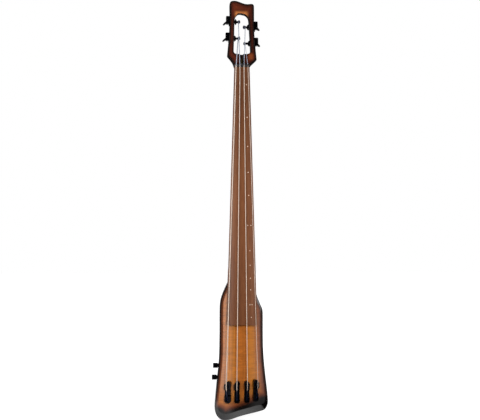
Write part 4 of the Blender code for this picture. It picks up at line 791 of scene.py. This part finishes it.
makeBodyTop()
dressed("bodyBack", "body_back", darkGloss, edge=0.0004, sharp=50.0)
print("body")


# Neck and headstock

# The starts are distances below the nut's top, from where the headstock has its rim, cells and finish
neckSet = {"lean": 5.0, "edge": 0.0005, "cell": 0.003, "cellInset": 0.0005, "rimStart": 0.004,
           "cellStart": 0.008, "faceStart": 0.006, "faceTurn": 0.80, "sideTurn": 0.5}


def makeNeck():
    piece = nodeCopy("neckAndHead", "neck")
    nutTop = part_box("nut")[1].z
    lean = math.radians(neckSet["lean"])
    headFacing = Vector((0.0, -math.cos(lean), math.sin(lean)))
    rim = rimPoints(piece, headFacing, lambda middle: middle.z > nutTop - neckSet["rimStart"])
    bevelled(piece, neckSet["edge"], 2, 32.0)
    low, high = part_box("neck")
    inset = neckSet["cellInset"]
    sliced(piece, "X", low.x + inset, high.x - inset, neckSet["cell"])
    sliced(piece, "Z", nutTop - neckSet["cellStart"], high.z - inset, neckSet["cell"])
    edgeDistance(piece, rim, lambda point, out: (0.0, headSet["reach"]))
    smoothed(piece, 40.0)
    worn(piece, (neckSatin, headBurst, headEdge), replaces=("neck",))
    for face in piece.data.polygons:
        if face.center.z > nutTop - neckSet["faceStart"]:
            if face.normal.dot(headFacing) > neckSet["faceTurn"]:
                face.material_index = 1
            elif abs(face.normal.x) + abs(face.normal.z) > neckSet["sideTurn"]:
                face.material_index = 2


makeNeck()
fingerboard = dressed("fretlessBoard", "fingerboard", boardWood, edge=0.0007,
                      sharp=40.0, smooth=30.0)
dressed("nutBlock", "nut", nutBlack, edge=0.0003, sharp=50.0)
print("neck")


# Position marks

markSet = {
    "scaleLength": 0.8636,
    "nutX": 0.0109,
    "bridgeX": 0.0290,
    "places": (1, 3, 5, 7, 9, 12, 15, 17, 19, 21, 24, 27),
    "radius": 0.0013,
    "smallPlace": 24,
    "smallRadius": 0.0011,
    "apart": {12: 0.0084, 24: 0.0056},  # between the two marks of a doubled place
    "thickness": 0.0008,
    "proud": 0.00006,
    "edge": 0.00004,
    "sides": 28,
}


def roundMark(radius):
    bpy.ops.object.select_all(action="DESELECT")
    middle = markSet["proud"] - 0.5 * markSet["thickness"]
    bpy.ops.mesh.primitive_cylinder_add(vertices=markSet["sides"], radius=radius,
                                        depth=markSet["thickness"], location=(0.0, 0.0, middle))
    disc = bpy.context.object
    settled(disc)
    bevelled(disc, markSet["edge"], 2, 40.0)
    smoothed(disc, 40.0)
    return disc


def makeMarks():
    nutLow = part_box("nut")[0].z
    patterns = {size: roundMark(markSet[size]) for size in ("radius", "smallRadius")}
    count = 0
    for place in markSet["places"]:
        pattern = patterns["smallRadius" if place == markSet["smallPlace"] else "radius"]
        share = 1.0 - 2.0 ** (-place / 12.0)
        z = nutLow - markSet["scaleLength"] * share
        x = markSet["nutX"] + (markSet["bridgeX"] - markSet["nutX"]) * share
        apart = markSet["apart"].get(place, 0.0)
        for shift in (-0.5, 0.5) if apart else (0.0,):
            point, normal = frontOf(fingerboard, x + shift * apart, z)
            mark = pattern.copy()
            mark.data = pattern.data.copy()
            mark.name = f"mark{place}{'ab'[int(shift > 0)]}"
            scene.collection.objects.link(mark)
            turn = normal.to_track_quat("Z", "Y").to_matrix().to_4x4()
            mark.matrix_world = Matrix.Translation(point) @ turn
            settled(mark)
            worn(mark, markPearl)
            count += 1
    for pattern in patterns.values():
        bpy.data.objects.remove(pattern)
    print("marks", count)


makeMarks()


# Strings

# Silk covers each string below its saddle, from tailBare on, and round its post
stringSet = {"tailBare": 0.005, "silkRadius": 0.0105, "silkFade": 0.0015, "tailCell": 0.003,
             "tailInset": 0.002, "postCell": 0.002, "postCells": (0.016, 0.008)}


def makeString(name):
    piece = nodeCopy(f"string{name.upper()}", f"string_{name}", 0.05)
    post = next(joint for joint in frame["joints"] if joint["name"] == f"post_turn_{name}")
    centre = Vector(post["pos_m"])
    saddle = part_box(f"saddle_{name}")[0].z
    silkEnd = saddle - stringSet["tailBare"]
    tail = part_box(f"string_{name}")[0].z + stringSet["tailInset"]
    sliced(piece, "Z", tail, saddle, stringSet["tailCell"])
    sliced(piece, "Z", *(centre.z - below for below in stringSet["postCells"]), stringSet["postCell"])
    layer = piece.data.attributes.new("silk", "FLOAT", "POINT")
    for vertex, value in zip(piece.data.vertices, layer.data):
        fromPost = math.hypot(vertex.co.y - centre.y, vertex.co.z - centre.z)
        depth = max(stringSet["silkRadius"] - fromPost, silkEnd - vertex.co.z)
        value.value = min(1.0, max(0.0, depth / stringSet["silkFade"]))
    smoothed(piece, 60.0)
    worn(piece, flatWound, replaces=(f"string_{name}",))


for name in stringNames:
    makeString(name)
print("strings")


# Bridges

def makeBridge(name):
    tag = name.upper()
    dressed(f"bridgeRail{tag}", f"bridge_rail_{name}", satinBlack, edge=0.0011,
            steps=3, sharp=30.0, smooth=45.0)
    dressed(f"saddle{tag}", f"saddle_{name}", blackChrome, edge=0.0005, sharp=28.0)


for name in stringNames:
    makeBridge(name)
print("bridges")


# Tuners

def makeTuner(name):
    tag = name.upper()
    dressed(f"gearCase{tag}", f"tuner_housing_{name}", satinBlack, edge=0.0007,
            steps=3, smooth=45.0)
    dressed(f"bushing{tag}", f"tuner_bushing_{name}", satinBlack, edge=0.0004)
    dressed(f"post{tag}", f"tuner_post_{name}", blackChrome, f"post_{name}", edge=0.0002,
            sharp=60.0)
    dressed(f"keyLeaf{tag}", f"tuner_key_{name}", satinBlack, f"key_{name}", edge=0.0004,
            sharp=50.0, smooth=50.0)


for name in stringNames:
    makeTuner(name)
print("tuners")


# Knobs

knobSet = {"sides": 72, "rim": 0.0010, "knurl": 0.00022, "knurlLand": 0.00012, "capEdge": 0.0016,
           "capStep": 0.0003, "washerWall": 0.0018, "washerBore": 0.0034, "washerGap": 0.00012,
           "washerLength": 0.0030, "washerRim": 0.0003}


def cylinderAlongX(name, radius, length, middle):
    bpy.ops.object.select_all(action="DESELECT")
    bpy.ops.mesh.primitive_cylinder_add(vertices=knobSet["sides"], radius=radius, depth=length,
                                        location=middle, rotation=(0.0, math.radians(-90.0), 0.0))
    made = bpy.context.object
    made.name = name
    settled(made)
    return made


def makeKnob(name):
    low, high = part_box(f"{name}_knob")
    knob = cylinderAlongX(f"{name}Grip", 0.5 * (high.z - low.z), high.x - low.x, 0.5 * (low + high))
    bevelled(knob, knobSet["rim"], 3, 60.0)
    editFaces(knob, lambda face: abs(face.normal.x) < 0.05 and face.index % 2 == 0)
    bpy.ops.mesh.inset(thickness=knobSet["knurlLand"], depth=-knobSet["knurl"], use_individual=True)
    editFaces(knob, lambda face: face.normal.x < -0.99)
    bpy.ops.mesh.inset(thickness=knobSet["capEdge"], depth=0.0)
    bpy.ops.mesh.inset(thickness=knobSet["capStep"], depth=-knobSet["capStep"])
    objectMode()
    smoothed(knob, 35.0)
    worn(knob, satinBlack, f"{name}_control", (f"{name}_knob",))


def makeWasher(name):
    # A flat ring round the shaft, between the knob and the body's side
    low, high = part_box(f"{name}_shaft")
    middle = 0.5 * (low + high)
    length = knobSet["washerLength"]
    middle.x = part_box(f"{name}_knob")[1].x + knobSet["washerGap"] + 0.5 * length
    radius = knobSet["washerBore"] + knobSet["washerWall"]
    washer = cylinderAlongX(f"{name}Washer", radius, length, middle)
    editFaces(washer, lambda face: abs(face.normal.x) > 0.99)
    bpy.ops.mesh.inset(thickness=knobSet["washerWall"], depth=0.0, use_individual=True)
    bpy.ops.mesh.bridge_edge_loops()
    objectMode()
    bevelled(washer, knobSet["washerRim"], 2, 60.0)
    smoothed(washer, 35.0)
    worn(washer, satinBlack)


for name in ("volume", "tone"):
    makeKnob(name)
    makeWasher(name)
print("knobs")


# Back pieces, and the nodes that stay as they are inside

dressed("controlCover", "control_cover", boxPlastic)
dressed("batteryTray", "battery_box", boxPlastic, edge=0.0003, sharp=50.0)
dressed("batteryFlap", "battery_door", boxPlastic, "battery_flap", edge=0.0003,
        sharp=50.0)
dressed("jackPlate", "output_jack", satinBlack, edge=0.0003)
dressed("standSeat", "stand_plate", plainSteel, edge=0.0004)
dressed("trussNut", "truss_nut", shadowDarkBrass, "truss_nut", edge=0.0002)

hiddenFinishes = {
    "truss_rod": plainSteel, "door_pin": plainSteel, "battery": batteryShell, "preamp_board": boardGreen,
    "volume_pot": plainSteel, "tone_pot": plainSteel, "volume_shaft": plainSteel, "tone_shaft": plainSteel,
}
for name in stringNames:
    hiddenFinishes[f"piezo_{name}"] = paleCeramic
for node, finish in hiddenFinishes.items():
    target = frame["nodes"][node]
    target.data.materials.clear()
    target.data.materials.append(finish.material)
print("back")

addCamera()
addLamps()
addWorld()
addFloor()
scene.view_settings.view_transform = "Standard"
print("stage")
